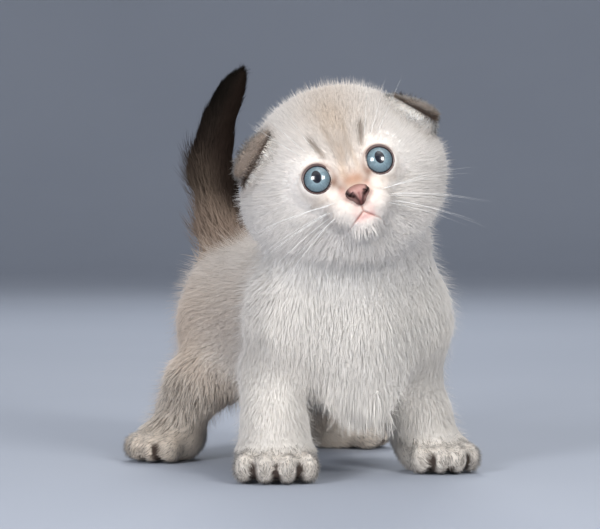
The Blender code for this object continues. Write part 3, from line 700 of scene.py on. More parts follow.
def washed(places, base):
    """The base colours with every wash laid over them, the toe clefts' dark fur and painted shade, the lids'
    painted shade above and cream below.
    """
    shades = np.array(base, dtype=float)
    local = to_head(places)
    for start, end, spread, colour, strength in HEAD_WASHES:
        if spread < FINE_MARK:
            away = off_line(local[:, ::2], (start[::2], end[::2]))
            away += np.where(local[:, 1] > FACE_ONLY, NOWHERE, 0)
        else:
            away = off_line(local, (start, end))
        shades = laid_over(shades, colour, strength * near(away, spread))
    # The clefts between the toes are painted dark: the dark fur that grows there and painted shade in the
    # slots.
    shades = laid_over(shades, CLEFT_FUR_AND_SHADE, 0.96 * np.clip(in_clefts(places, 1.6) * 2.2, 0, 1))
    for side in (-1, 1):
        seen = to_eye(local, side)
        turn = np.arctan2(seen[:, 2], seen[:, 0])
        past = np.hypot(seen[:, 0], seen[:, 2]) - lid_open(turn, side)
        front = (seen[:, 1] < 0) & (np.linalg.norm(seen, axis=1) < EYE_BALL + LID_REACH)
        above = front * np.clip(np.sin(turn) * 1.4 + 0.2, 0, 1) * near(past - 0.6, 0.75)
        below = front * np.clip(0.3 - np.sin(turn) * 1.4, 0, 1) * near(past - 1.8, 1.5)
        inner = near(off_corner(turn, side), 0.6)
        # Along each upper lid a band of painted shade; below the lid a cream crescent; at the inner corner a
        # brown tear mark.
        shades = laid_over(shades, LID_SHADE_BROWN, 0.75 * above)
        shades = laid_over(shades, LID_CREAM, 0.85 * below * (1 - 0.9 * inner))
        shades = laid_over(shades, TEAR_BROWN, 0.7 * (front * inner * near(past - 0.9, 1.5)))
    return shades


skin_base = np.array([linear(BASE_COLOURS[name]) for name in skin_parts])
skin_base = evened(skin_base, skin_edges, 26, np.where(coat_depth < 0.6, 0.15, 0.5))
for start, end, spread, colour, strength in BODY_WASHES:
    share = strength * near(off_line(skin_places / MM, (start, end)), spread)
    skin_base = laid_over(skin_base, colour, share)
on_tail = np.char.startswith(skin_parts, "tail").astype(float)
on_tail = evened(on_tail, skin_edges, 6, 0.5).ravel()
tone_levels = np.array([level for level, _ in TAIL_TONES]) * MM
tail_colours = np.array([linear(colour) for _, colour in TAIL_TONES])
skin_levels = skin_places[:, 2]
tail_shades = np.column_stack([np.interp(skin_levels, tone_levels, tones) for tones in tail_colours.T])
tail_dark = np.clip(skin_normals @ TOWARDS_HEAD * 1.6 + 0.3, 0, 1)
tail_dark *= np.clip((skin_places[:, 2] / MM - TAIL_INSIDE_FROM) / 14, 0, 1)
tail_shades = laid_over(tail_shades, TAIL_INSIDE, tail_dark * 0.9)
skin_base += (tail_shades - skin_base) * on_tail[:, None]
ear_lie = {}
for name, slope in EARS.items():
    ear_lie[name] = np.array(Matrix.Rotation(math.radians(slope), 3, "Y")) @ (0, -0.86, -0.5)
    fold_normal, fold_at, edge_at = EAR_FOLDS[name]
    past = skin_local @ np.array(fold_normal)
    back = np.clip((past - fold_at) / 0.5 + 0.5, 0, 1)[:, None]
    low = np.clip((17 - skin_local[:, 2]) / 9, 0, 1)
    # Painted shade along the fold, and the back darker towards the ear's lower end.
    fold_shade = np.clip(near(past - fold_at - 0.4, 1.7) + 0.6 * low, 0, 1)
    ear_back = laid_over(linear(EAR_BACK), EAR_FOLD_SHADE, fold_shade)
    front = np.clip((past - edge_at) / 0.5 + 0.5, 0, 1)
    ear_shades = laid_over(linear(EAR_UNDER_SHADE), EAR_CREAM, front)
    ear_shades += (ear_back - ear_shades) * back
    skin_base = np.where((skin_parts == name)[:, None], ear_shades, skin_base)
skin_colours = washed(skin_places, skin_base)


def tinted(mesh, colours):
    """The colours of a mesh's points, which its material reads."""
    tint = mesh.color_attributes.new("tint", "FLOAT_COLOR", "POINT")
    values = np.ones((len(colours), 4), dtype=np.float32)
    values[:, :3] = np.clip(colours, 0, 1)
    tint.data.foreach_set("color", values.ravel())


# Along the mouth line the lips are pink, darkened in the groove as painted shade.
MOUTH_PINK_AND_SHADE = (150, 102, 92)
mouth_pink_and_shade = near(mouth_off, 0.34) * face_front
mouth_pink_and_shade *= np.clip((7.5 - np.abs(skin_local[:, 0])) / 5, 0, 0.85)
tinted(skin_mesh, laid_over(skin_colours, MOUTH_PINK_AND_SHADE, mouth_pink_and_shade))


def coat_material(name, rough, sheen, grain, depth):
    """Soft hair or skin in its points' own colours, with a fine grain that varies them by its depth."""
    made, shader = surface(
        name,
        Roughness=rough,
        Specular_IOR_Level=0.2,
        Sheen_Weight=sheen,
        Sheen_Roughness=0.5,
        Subsurface_Weight=0.30,
        Subsurface_Radius=(1.0, 0.85, 0.75),
        Subsurface_Scale=0.0014,
    )
    tint = add_node(made, "Attribute")
    tint.attribute_name = "tint"
    place = add_node(made, "TexCoord")
    noise = add_node(made, "TexNoise", Scale=grain, Detail=2.0)
    levels = add_node(made, "MapRange", To_Min=1 - depth, To_Max=1 + depth)
    shade = add_node(made, "VectorMath")
    shade.operation = "MULTIPLY"
    join(made, place.outputs["Object"], noise.inputs["Vector"])
    join(made, noise.outputs["Fac"], levels.inputs["Value"])
    join(made, tint.outputs["Color"], shade.inputs[0])
    join(made, levels.outputs["Result"], shade.inputs[1])
    join(made, shade.outputs["Vector"], shader.inputs["Base Color"])
    return made


def bumped(material, strength, distance):
    """Gives the grain of a coat material some height as well."""
    bump = add_node(material, "Bump", Strength=strength, Distance=distance)
    nodes = material.node_tree.nodes
    join(material, nodes["Noise Texture"].outputs["Fac"], bump.inputs["Height"])
    join(material, bump.outputs["Normal"], nodes["Principled BSDF"].inputs["Normal"])


skin_hide = coat_material("underfur_and_skin", 0.8, 0.0, 700.0, 0.10)
bumped(skin_hide, 0.35, 0.0002)
skin_mesh.materials.append(skin_hide)
bpy.context.view_layer.objects.active = skin
skin.select_set(True)
bpy.ops.object.mode_set(mode="EDIT")
bpy.ops.mesh.select_all(action="SELECT")
bpy.ops.uv.smart_project(angle_limit=math.radians(66), island_margin=0.002)
bpy.ops.object.mode_set(mode="OBJECT")
skin_mesh.uv_layers[0].name = "OFBake"
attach(skin, "root")
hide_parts(*FLESH)


# The lie of the coat: away from the nose over the whole head, down the chest and the legs, back along
# the body, out to the toes, and up the tail to its tip.
NOSE_TOP = (0, -33, -8)
TOES_DOWN = -0.4
LEG_LIE = {"foreleg": (0, 0.1, -1), "hindleg": (0, 0.35, -1)}
BACK_LIE = (0, 1, -0.45)
CHEST_LIE = (0, 0.3, -1)
tail_stops = tail_rows[:, :3] * MM
lie = np.zeros_like(skin_places)
for name in COATS:
    here = coat_parts == name
    if name in ("head", "jaw"):
        lie[here] = from_head(unit(skin_local[here] - NOSE_TOP)) - head_origin
    elif name.startswith("ear"):
        lie[here] = from_head([ear_lie[name]]) - head_origin
    elif name.startswith("tail"):
        spans = np.linalg.norm(skin_places[here][:, None] - (tail_stops[:-1] + tail_stops[1:]) / 2, axis=2)
        lie[here] = unit(tail_stops[1:] - tail_stops[:-1])[spans.argmin(axis=1)]
    elif name in PAWS:
        toe_turn = math.radians(PAWS[name][1])
        lie[here] = (math.sin(toe_turn), -math.cos(toe_turn), TOES_DOWN)
    elif name[:7] in LEG_LIE:
        lie[here] = LEG_LIE[name[:7]]
    else:
        chest = np.clip((-25 - skin_places[here, 1] / MM) / 20, 0, 1)[:, None]
        lie[here] = np.array(BACK_LIE) * (1 - chest) + np.array(CHEST_LIE) * chest
lie = unit(lie)
lie -= (lie * skin_normals).sum(axis=1, keepdims=True) * skin_normals
lie = evened(lie, skin_edges, 20, 0.5)

# Round each eye the coat is combed outward from the lids.
for side in (-1, 1):
    seen = to_eye(skin_local, side)
    outward = from_head(from_eye(seen * (1, 0, 1), side) - eye_centres[side]) - head_origin
    by_lid = near(np.linalg.norm(seen, axis=1) - 6.5, 2.6) * (skin_parts == "head")
    lie += unit(outward) * by_lid[:, None] * 1.1
lie -= (lie * skin_normals).sum(axis=1, keepdims=True) * skin_normals
lie = unit(lie)


def coat_measure(column, rounds):
    """One of the coat's measures at each point of the skin, evened where two parts meet."""
    by_part = np.array([COATS[name][column] for name in coat_parts])
    return evened(by_part, skin_edges, rounds, 0.5).ravel()


# The measures vary on the skin: short on the face, long under the throat and in the fringe that hangs
# from the chest between the forelegs.
FRINGE_AT = (5, 32)
FRINGE_SPREAD = (17, 11)
FRINGE_FRONT = -18
FRINGE_LONGER = 0.45
FRINGE_FINER = 0.25
FRINGE_CLOSER = 0.7
THROAT_LONGER = 0.4
coat_length = coat_measure(1, 26)
coat_width = coat_measure(2, 6)
coat_close = coat_measure(3, 6)
coat_rise = coat_measure(4, 14)
on_head = (coat_parts == "head").astype(float)
short_face = np.clip((muzzle_reach - 3.0) / 14.0, 0.22, 1) * np.clip((eye_reach - 5.0) / 9.0, 0.25, 1)
coat_length *= 1 + (short_face - 1) * on_head
coat_width *= 1 + (np.clip(short_face * 1.4, 0.6, 1) - 1) * on_head
coat_close *= 1 + (1 / np.clip(short_face * 1.7, 0.45, 1) - 1) * on_head
fringe = near(skin_places[:, 2] / MM - FRINGE_AT[1], FRINGE_SPREAD[1])
fringe *= skin_places[:, 1] < FRINGE_FRONT * MM
fringe *= near(skin_places[:, 0] / MM - FRINGE_AT[0], FRINGE_SPREAD[0]) * (skin_parts == "torso")
fringe = evened(fringe, skin_edges, 6, 0.5).ravel()
coat_length *= 1 + FRINGE_LONGER * fringe
coat_width *= 1 - FRINGE_FINER * fringe
coat_close *= 1 + FRINGE_CLOSER * fringe
coat_hang = np.clip(fringe * 1.3, 0, 1)
throat = np.clip((-skin_local[:, 2] - 12) / 8, 0, 1) * on_head * np.clip((muzzle_reach - 12) / 6, 0, 1)
coat_length *= 1 + THROAT_LONGER * throat

# Dark ticked hairs stand among the pale ones, most of them on the toes.
TICK_COLOUR = (92, 78, 66)
TICK_DARK = 0.75
TOE_TICKS = 0.40
HINDLEG_TICKS = 0.03
toe_reach = np.zeros(len(skin_places))
for name, (_, turn, _, _) in PAWS.items():
    low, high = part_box(name)
    ahead = np.array((math.sin(math.radians(turn)), -math.cos(math.radians(turn)), 0))
    along_toes = (skin_places - np.array((low + high) / 2)) @ ahead / MM
    toe_reach = np.where(skin_parts == name, np.clip(along_toes / 9 + 0.4, 0, 1), toe_reach)
coat_ticks = TOE_TICKS * toe_reach
coat_ticks += HINDLEG_TICKS * np.char.startswith(coat_parts, "hindleg")


# The coat itself is tens of thousands of thin tapered tufts, each a closed blade of three sides that
# grows out of the skin, follows the lie and ends in a point. Long ones bend over as they lie down.
PATCH = 0.003
COAT_SEED = 41
ROOT_SUNK = 0.35
BLADE_LOW = 0.16
BLADE_HIGH = 0.30
SWAY = 0.12
SWAY_WAVES = ((410, 290, 350), (-230, 380, 270))
FLOOR_CLEAR = 0.05
LEAN = 0.13
UNDERSIDE_FLAT = 0.35
HANG_START = (0, -0.25, -0.9)
HANG_END = (0, -0.05, -1.0)
HANG_FACING = (-0.5, -1.3, 0.2)
BARE_RIM = 0.75
BARE_MOUTH = 0.5
BARE_NOSE = ((0, -33, -9), (4.2, 4, 3.6))
BARE_SOLE = 0.6
chance = np.random.default_rng(COAT_SEED)
skin_triangles = np.empty(len(skin_mesh.polygons) * 3, dtype=np.int64)
skin_mesh.polygons.foreach_get("vertices", skin_triangles)
skin_triangles = skin_triangles.reshape(-1, 3)
skin_unwrap = np.empty(len(skin_mesh.loops) * 2)
skin_mesh.uv_layers["OFBake"].data.foreach_get("uv", skin_unwrap)
skin_unwrap = skin_unwrap.reshape(-1, 3, 2)
corners = skin_places[skin_triangles]
crossed = np.cross(corners[:, 1] - corners[:, 0], corners[:, 2] - corners[:, 0])
triangle_size = np.linalg.norm(crossed, axis=1) / 2
triangle_size /= MM * MM
triangle_middle = corners.mean(axis=1) / MM
head_middle = to_head(corners.mean(axis=1))
bare = np.zeros(len(corners), dtype=bool)
for side in (-1, 1):
    seen = to_eye(head_middle, side)
    bare |= (np.hypot(seen[:, 0], seen[:, 2]) < LID_OPEN + BARE_RIM) & (seen[:, 1] < 0)
mouth_near = off_line(np.column_stack([np.abs(head_middle[:, 0]), head_middle[:, 2]]), MOUTH_LINE)
bare |= (mouth_near < BARE_MOUTH) & (head_middle[:, 1] < MOUTH_FRONT)
bare |= np.linalg.norm((head_middle - BARE_NOSE[0]) / BARE_NOSE[1], axis=1) < 1
bare |= corners[:, :, 2].max(axis=1) < BARE_SOLE * MM


def roots_on(chosen, close):
    """Points spread over the chosen triangles, as close as asked, as triangle and corner shares."""
    weight = triangle_size * close[skin_triangles].mean(axis=1) * (chosen & ~bare)
    total = np.cumsum(weight)
    count = int(total[-1])
    picks = (np.arange(count) + chance.random(count)) / count * total[-1]
    which = np.minimum(np.searchsorted(total, picks), len(total) - 1)
    first = np.sqrt(chance.random(count))
    second = chance.random(count)
    return which, np.column_stack([1 - first, first * (1 - second), first * second])


def over(values, which, shares):
    """A value of the skin's points at the roots."""
    at_corners = values[skin_triangles[which]]
    if at_corners.ndim == 2:
        return (at_corners * shares).sum(axis=1)
    return (at_corners * shares[:, :, None]).sum(axis=1)


def grow(name, chosen, fur, slot, bent=False, close=1, longer=1, wider=1, steeper=1, stray=0.1, mottle=0.06):
    """A piece of coat over the chosen triangles of the skin, of tufts that are straight or bent over.

    The last six say how many tufts there are, how long, wide and steep beside the skin's own measures,
    how far they stray from the lie, and how much their tones differ.
    """
    which, shares = roots_on(chosen, coat_close * close)
    count = len(which)
    root = over(skin_places, which, shares)
    out = unit(over(skin_normals, which, shares))
    along = over(lie, which, shares)
    waves = SWAY * np.sin(root @ SWAY_WAVES[0]) * np.sin(root @ SWAY_WAVES[1])
    sway = chance.normal(0, stray, count) + waves
    along -= (along * out).sum(axis=1, keepdims=True) * out
    along = unit(along)
    across = np.cross(out, along)
    along = along * np.cos(sway)[:, None] + across * np.sin(sway)[:, None]
    across = np.cross(out, along)
    length = over(coat_length, which, shares) * chance.uniform(0.65, 1.2, count) * longer * MM
    length *= 1 - 0.75 * in_clefts(root, 2.0)
    width = over(coat_width, which, shares) * chance.uniform(0.75, 1.25, count) * wider * MM
    rise = np.radians(over(coat_rise, which, shares) * chance.uniform(0.65, 1.35, count) * steeper)
    shade = chance.normal(1.0, mottle, count)
    base = washed(root, over(skin_base, which, shares)) * shade[:, None]
    ticked = chance.random(count) < over(coat_ticks, which, shares)
    base = laid_over(base, TICK_COLOUR, TICK_DARK * ticked)
    unwrap = (skin_unwrap[which] * shares[:, :, None]).sum(axis=1)

    def ring(centre, up, size):
        """The three corners of every blade at one place along it."""
        low = centre - up * size[:, None] * BLADE_LOW
        high = centre + up * size[:, None] * BLADE_HIGH
        half = across * size[:, None] * 0.5
        return [low + half, high, low - half]

    sunk = root - out * (ROOT_SUNK * MM)
    if bent:
        start = along * np.cos(rise * 1.35)[:, None] + out * np.sin(rise * 1.35)[:, None]
        late = along * np.cos(rise * 0.55)[:, None] + out * np.sin(rise * 0.55)[:, None]
        late += across * chance.normal(0, 0.13, count)[:, None]
        hang = over(coat_hang, which, shares)[:, None]
        start += (HANG_START - start) * hang * 0.75
        late += (HANG_END - late) * hang * 0.9
        middle_point = sunk + start * (length * 0.45)[:, None]
        tip = middle_point + late * (length * 0.6)[:, None]
        points = ring(sunk, out, width * 0.9) + ring(middle_point, out, width) + [tip]
        faces = [(0, 1, 4), (0, 4, 3), (1, 2, 5), (1, 5, 4), (2, 0, 3), (2, 3, 5)]
        faces += [(3, 4, 6), (4, 5, 6), (5, 3, 6), (0, 2, 1)]
        # Each blade is painted darker at its root, as shade deep in the coat, and lighter at its tip, as
        # painted light.
        tones = (0.92, 0.92, 0.92, 1.0, 1.0, 1.0, 1.04)
        spots = [(-0.4, -0.5), (0, -0.5), (0.4, -0.5), (-0.3, 0), (0, 0), (0.3, 0), (0, 0.5)]
    else:
        start = along * np.cos(rise)[:, None] + out * np.sin(rise)[:, None]
        tip = sunk + start * length[:, None]
        points = ring(sunk, out, width) + [tip]
        faces = [(0, 1, 3), (1, 2, 3), (2, 0, 3), (0, 2, 1)]
        # The same painted shade at the root and painted light at the tip.
        tones = (0.94, 0.94, 0.94, 1.03)
        spots = [(-0.4, -0.5), (0, -0.5), (0.4, -0.5), (0, 0.5)]
    each = len(points)
    places = np.stack(points, axis=1).reshape(-1, 3)
    places[:, 2] = np.maximum(places[:, 2], FLOOR_CLEAR * MM)
    corners_of = (np.array(faces)[None] + np.arange(count)[:, None, None] * each).reshape(-1, 3)
    mesh = bpy.data.meshes.new(name)
    mesh.vertices.add(len(places))
    mesh.vertices.foreach_set("co", places.astype(np.float32).ravel())
    mesh.loops.add(corners_of.size)
    mesh.loops.foreach_set("vertex_index", corners_of.ravel().astype(np.int32))
    mesh.polygons.add(len(corners_of))
    mesh.polygons.foreach_set("loop_start", np.arange(0, corners_of.size, 3, dtype=np.int32))
    mesh.update(calc_edges=True)
    mesh.shade_smooth()

    # The light falls on a tuft as on the skin under it, leaned a little to each side of the tuft.
    leans = LEAN * np.sign([spot[0] for spot in spots])
    facing_out = out * np.where(out[:, 2] < 0, UNDERSIDE_FLAT, 1.0)[:, None] ** np.array((0, 0, 1))
    facing_out = unit(facing_out + over(coat_hang, which, shares)[:, None] * np.array(HANG_FACING))
    facing = facing_out[:, None, :] - across[:, None, :] * leans[None, :, None]
    mesh.normals_split_custom_set_from_vertices(unit(facing.reshape(-1, 3)).tolist())
    tinted(mesh, (base[:, None, :] * np.array(tones)[None, :, None]).reshape(-1, 3))
    flat = (unwrap[:, None, :] + np.array(spots)[None] * PATCH).reshape(-1, 2)
    patches = mesh.uv_layers.new(name="OFBake")
    patches.data.foreach_set("uv", flat[corners_of.ravel()].astype(np.float32).ravel())
    mesh.materials.append(fur)
    piece = placed(name, mesh)
    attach(piece, "root")


FACE_COAT_FRONT = -14
CHEEK_TOP = 2
CHEST_FRONT = -22
BODY_MIDDLE = 4
kitten_fur = coat_material("kitten_fur", 0.68, 0.10, 260.0, 0.04)
triangle_part = coat_parts[skin_triangles[:, 0]]
on_skull = triangle_part == "head"
on_ears = np.char.startswith(triangle_part, "ear")
on_face = on_skull & (head_middle[:, 1] < FACE_COAT_FRONT)
above_cheeks = head_middle[:, 2] > CHEEK_TOP
left_paws = (triangle_part == "forepaw_left") | (triangle_part == "hindpaw_left")
right_paws = (triangle_part == "forepaw_right") | (triangle_part == "hindpaw_right")
trunk = (triangle_part == "torso") | (triangle_part == "neck")
chest = trunk & (triangle_middle[:, 1] < CHEST_FRONT)
on_right = triangle_middle[:, 0] < BODY_MIDDLE
grow("coat_face", on_face, kitten_fur, "cream_fur")
grow("coat_crown", on_skull & ~on_face & above_cheeks, kitten_fur, "cream_fur")
grow("coat_cheeks", on_skull & ~on_face & ~above_cheeks, kitten_fur, "cream_fur")
grow("coat_ears", on_ears, kitten_fur, "ear_fur", longer=1.25, stray=0.2, mottle=0.34)
grow("coat_paws_left", left_paws, kitten_fur, "cream_fur")
grow("coat_paws_right", right_paws, kitten_fur, "cream_fur")
grow("coat_jaw", triangle_part == "jaw", kitten_fur, "cream_fur", bent=True, mottle=0.04)
for name, half in (("right", on_right), ("left", ~on_right)):
    grow("coat_chest_" + name, chest & half, kitten_fur, "cream_fur", bent=True, stray=0.08, mottle=0.035)
for name, half in (("right", on_right), ("left", ~on_right)):
    flank = trunk & ~chest & half
    grow("coat_flank_" + name, flank, kitten_fur, "cream_fur", bent=True, close=0.72, wider=1.1)
for name in ("foreleg_right", "foreleg_left"):
    grow("coat_" + name, triangle_part == name, kitten_fur, "cream_fur", bent=True, mottle=0.04)
for name, close in (("hindleg_right", 0.8), ("hindleg_left", 0.7)):
    grow("coat_" + name, triangle_part == name, kitten_fur, "taupe_fur", bent=True, close=close)

# The tail is darker and drier than the body. Long pale wisps stand out of its outer side, low down.
WISPS_LOW = 76
WISPS_HIGH = 120
OUT_OF_TAIL = (-0.93, 0.36, 0)
tail_fur = coat_material("dark_tail_fur", 0.8, 0.0, 260.0, 0.05)
tail_shader = tail_fur.node_tree.nodes["Principled BSDF"]
tail_shader.inputs["Specular IOR Level"].default_value = 0.04
tail_shader.inputs["Subsurface Weight"].default_value = 0.0
tail_whole = np.char.startswith(triangle_part, "tail")
tail_start = triangle_part == "tail_root"
wisps = tail_whole & (triangle_middle[:, 2] > WISPS_LOW) & (triangle_middle[:, 2] < WISPS_HIGH)
wisps &= skin_normals[skin_triangles[:, 0]] @ np.array(OUT_OF_TAIL) > 0.2
guard_shape = {"close": 0.12, "longer": 0.9, "wider": 0.5, "steeper": 1.8}
wisp_shape = {"close": 0.14, "longer": 1.5, "wider": 0.8, "steeper": 2.0, "stray": 0.2}
grow("coat_tail_root", tail_start, tail_fur, "taupe_fur", bent=True, close=0.75)
grow("coat_tail", tail_whole & ~tail_start, tail_fur, "dark_fur", bent=True, close=0.8)
grow("coat_guard_tail", tail_whole, tail_fur, "dark_fur", **guard_shape)
grow("coat_tail_wisps", wisps, tail_fur, "taupe_fur", bent=True, **wisp_shape)

# Single guard hairs stand out past the soft coat and break its outline, save on the face, the ears and
# the paws.
BARE_FACE_FRONT = -16
guarded = ~(on_skull | on_ears | tail_whole | left_paws | right_paws)
guarded_skull = on_skull & ~(head_middle[:, 1] < BARE_FACE_FRONT)
guard_shape = {"close": 0.22, "longer": 1.25, "wider": 0.6, "steeper": 2.9}
skull_guard_shape = {"close": 0.16, "longer": 1.2, "wider": 0.55, "steeper": 2.3}
grow("coat_guard_hairs", guarded, kitten_fur, "cream_fur", **guard_shape)
grow("coat_guard_head", guarded_skull, kitten_fur, "cream_fur", **skull_guard_shape)


# The eyes are two wet balls in their sockets. The clear front bulges a little, the iris is blue with
# fine rays and a thin dark rim, and the pupil is a tall oval.
EYE_AROUND = 96
EYE_RINGS = 64
IRIS_AT = 39.5
CORNEA_OUT = 0.25
IRIS_TONES = (
    (0.06, (122, 143, 150)),
    (0.13, (99, 120, 129)),
    (0.195, (88, 105, 112)),
    (0.209, (52, 64, 72)),
    (0.218, (22, 22, 26)),
    (0.25, (40, 32, 32)),
    (0.3, (150, 120, 115)),
)
IRIS_RAYS = (9.0, 6.0, 1.0)
PUPIL_BLACK = (0.004, 0.005, 0.012, 1)
PUPIL_MIDDLE = (0.0, -0.028, 0)
PUPIL_NARROW = (1.38, 1.0, 1.0)


def toned(material, tones):
    """A node that turns a number into a colour, by stops that are given as a place and a colour."""
    node = add_node(material, "ValToRGB")
    stops = node.color_ramp.elements
    stops[0].position = tones[0][0]
    stops[1].position = tones[-1][0]
    for position, _ in tones[1:-1]:
        stops.new(position)
    for stop, (_, colour) in zip(stops, tones):
        stop.color = (*linear(colour), 1)
    return node


def worked(material, operation, *sources):
    """A node that works out one vector from others."""
    node = add_node(material, "VectorMath")
    node.operation = operation
    for socket, source in zip(node.inputs, sources):
        join(material, source, socket)
    return node


# The iris is drawn on a flat disc: its tones by the distance from the middle, its rays by the bearing.
iris, wet = surface("blue_iris", Roughness=0.25, Coat_Weight=1.0, Coat_Roughness=0.09)
where = add_node(iris, "UVMap")
where.uv_map = "disc"
centred = worked(iris, "SUBTRACT", where.outputs["UV"])
centred.inputs[1].default_value = (0.5, 0.5, 0)
away = worked(iris, "LENGTH", centred.outputs["Vector"])
split = add_node(iris, "SeparateXYZ")
bearing = add_node(iris, "Math")
bearing.operation = "ARCTAN2"
polar = add_node(iris, "CombineXYZ")
stretch = add_node(iris, "Mapping", Scale=IRIS_RAYS)
rays = add_node(iris, "TexNoise", Scale=2.2, Detail=4.0)
streaks = add_node(iris, "MapRange", From_Min=0.3, From_Max=0.7, To_Min=0.66, To_Max=1.34)
bands = toned(iris, IRIS_TONES)
join(iris, centred.outputs["Vector"], split.inputs["Vector"])
join(iris, split.outputs["X"], bearing.inputs[0])
join(iris, split.outputs["Y"], bearing.inputs[1])
join(iris, bearing.outputs["Value"], polar.inputs["X"])
join(iris, away.outputs["Value"], polar.inputs["Y"])
join(iris, polar.outputs["Vector"], stretch.inputs["Vector"])
join(iris, stretch.outputs["Vector"], rays.inputs["Vector"])
join(iris, rays.outputs["Fac"], streaks.inputs["Value"])
join(iris, away.outputs["Value"], bands.inputs["Fac"])
rayed = worked(iris, "MULTIPLY", bands.outputs["Color"], streaks.outputs["Result"])

# The pupil is the same disc narrowed across, with an edge that is soft for a hair's breadth.
oval = add_node(iris, "Mapping", Location=PUPIL_MIDDLE, Scale=PUPIL_NARROW)
join(iris, centred.outputs["Vector"], oval.inputs["Vector"])
pupil_away = worked(iris, "LENGTH", oval.outputs["Vector"])
pupil_edge = add_node(iris, "MapRange", From_Min=0.094, From_Max=0.108)
pupil_edge.interpolation_type = "SMOOTHSTEP"
painted = add_node(iris, "Mix")
painted.data_type = "RGBA"
painted.inputs["A"].default_value = PUPIL_BLACK
join(iris, pupil_away.outputs["Value"], pupil_edge.inputs["Value"])
join(iris, pupil_edge.outputs["Result"], painted.inputs["Factor"])
join(iris, rayed.outputs["Vector"], painted.inputs["B"])
join(iris, painted.outputs["Result"], wet.inputs["Base Color"])


def closed_mesh(name, places, faces, material):
    """A smooth mesh of one material, with all its faces turned outward."""
    mesh = bpy.data.meshes.new(name)
    mesh.from_pydata([tuple(place) for place in places], [], faces)
    turned = bmesh.new()
    turned.from_mesh(mesh)
    bmesh.ops.recalc_face_normals(turned, faces=turned.faces)
    turned.to_mesh(mesh)
    turned.free()
    mesh.shade_smooth()
    mesh.materials.append(material)
    return mesh


ball_points = [(0, -EYE_BALL - CORNEA_OUT, 0)]
discs = [(0.5, 0.5)]
for ring in range(1, EYE_RINGS):
    tilt = ring / EYE_RINGS * math.pi
    reach = EYE_BALL + CORNEA_OUT * max(0.0, 1 - (tilt / math.radians(IRIS_AT)) ** 2)
    spread = tilt / math.pi
    for step in range(EYE_AROUND):
        turn = step / EYE_AROUND * 2 * math.pi
        aside = reach * math.sin(tilt) * math.cos(turn)
        up = reach * math.sin(tilt) * math.sin(turn)
        ball_points.append((aside, -reach * math.cos(tilt), up))
        discs.append((0.5 + spread * math.cos(turn), 0.5 + spread * math.sin(turn)))
ball_points.append((0, EYE_BALL, 0))
discs.append((0.5, 1.5))
ball_faces = []
last = len(ball_points) - 1
for step in range(EYE_AROUND):
    after = (step + 1) % EYE_AROUND
    ball_faces.append((0, 1 + step, 1 + after))
    for ring in range(EYE_RINGS - 2):
        low = 1 + ring * EYE_AROUND
        high = low + EYE_AROUND
        ball_faces.append((low + step, high + step, high + after, low + after))
    ball_faces.append((last, last - EYE_AROUND + after, last - EYE_AROUND + step))
for name, side in (("eye_ball_right", -1), ("eye_ball_left", 1)):
    ball_mesh = closed_mesh(name, from_head(from_eye(np.array(ball_points), side)), ball_faces, iris)
    layer = ball_mesh.uv_layers.new(name="disc")
    for loop in ball_mesh.loops:
        layer.data[loop.index].uv = discs[loop.vertex_index]
    ball = placed(name, ball_mesh)
    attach(ball, "root")
    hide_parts(name.replace("_ball", ""))


# The rim of each lid is a bare, dark, moist edge that lies on the eyeball all round the opening, a
# little thicker above, and drawn out to a point at the inner corner.
RIM_STEPS = 96
RIM_SIDES = 10
RIM_OFF_LID = 0.12
RIM_THICK = 0.42
RIM_THICKER_ABOVE = 0.20
RIM_FLAT = 0.75
RIM_OUT = 0.25
RIM_TONES = ((0, (66, 50, 48)), (1, (96, 74, 70)))
rim_skin, rim_shader = surface("lid_rim", Roughness=0.38, Coat_Weight=0.3)
rim_place = add_node(rim_skin, "TexCoord")
rim_noise = add_node(rim_skin, "TexNoise", Scale=900.0)
rim_tones = toned(rim_skin, RIM_TONES)
join(rim_skin, rim_place.outputs["Object"], rim_noise.inputs["Vector"])
join(rim_skin, rim_noise.outputs["Fac"], rim_tones.inputs["Fac"])
join(rim_skin, rim_tones.outputs["Color"], rim_shader.inputs["Base Color"])
rim_faces = []
for step in range(RIM_STEPS):
    here = step * RIM_SIDES
    there = (step + 1) % RIM_STEPS * RIM_SIDES
    for stop in range(RIM_SIDES):
        after = (stop + 1) % RIM_SIDES
        rim_faces.append((here + stop, here + after, there + after, there + stop))
for name, side in (("lid_rim_right", -1), ("lid_rim_left", 1)):
    rim_points = []
    for step in range(RIM_STEPS):
        turn = step / RIM_STEPS * 2 * math.pi
        open_here = float(lid_open(np.array([turn]), side)[0]) + RIM_OFF_LID
        thick = RIM_THICK + RIM_THICKER_ABOVE * max(0.0, math.sin(turn))
        on_ball = math.sqrt((EYE_BALL + RIM_OUT) ** 2 - open_here**2)
        centre = Vector((open_here * math.cos(turn), -on_ball, open_here * math.sin(turn)))
        outward = centre.normalized()
        sideways = Vector((math.cos(turn), 0, math.sin(turn)))
        sideways = (sideways - outward * sideways.dot(outward)).normalized()
        for stop in range(RIM_SIDES):
            roll = stop / RIM_SIDES * 2 * math.pi
            raised = outward * math.cos(roll) * thick * RIM_FLAT
            rim_points.append(tuple(centre + raised + sideways * math.sin(roll) * thick))
    rim_places = from_head(from_eye(np.array(rim_points), side))
    rim = placed(name, closed_mesh(name, rim_places, rim_faces, rim_skin))
    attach(rim, "root")


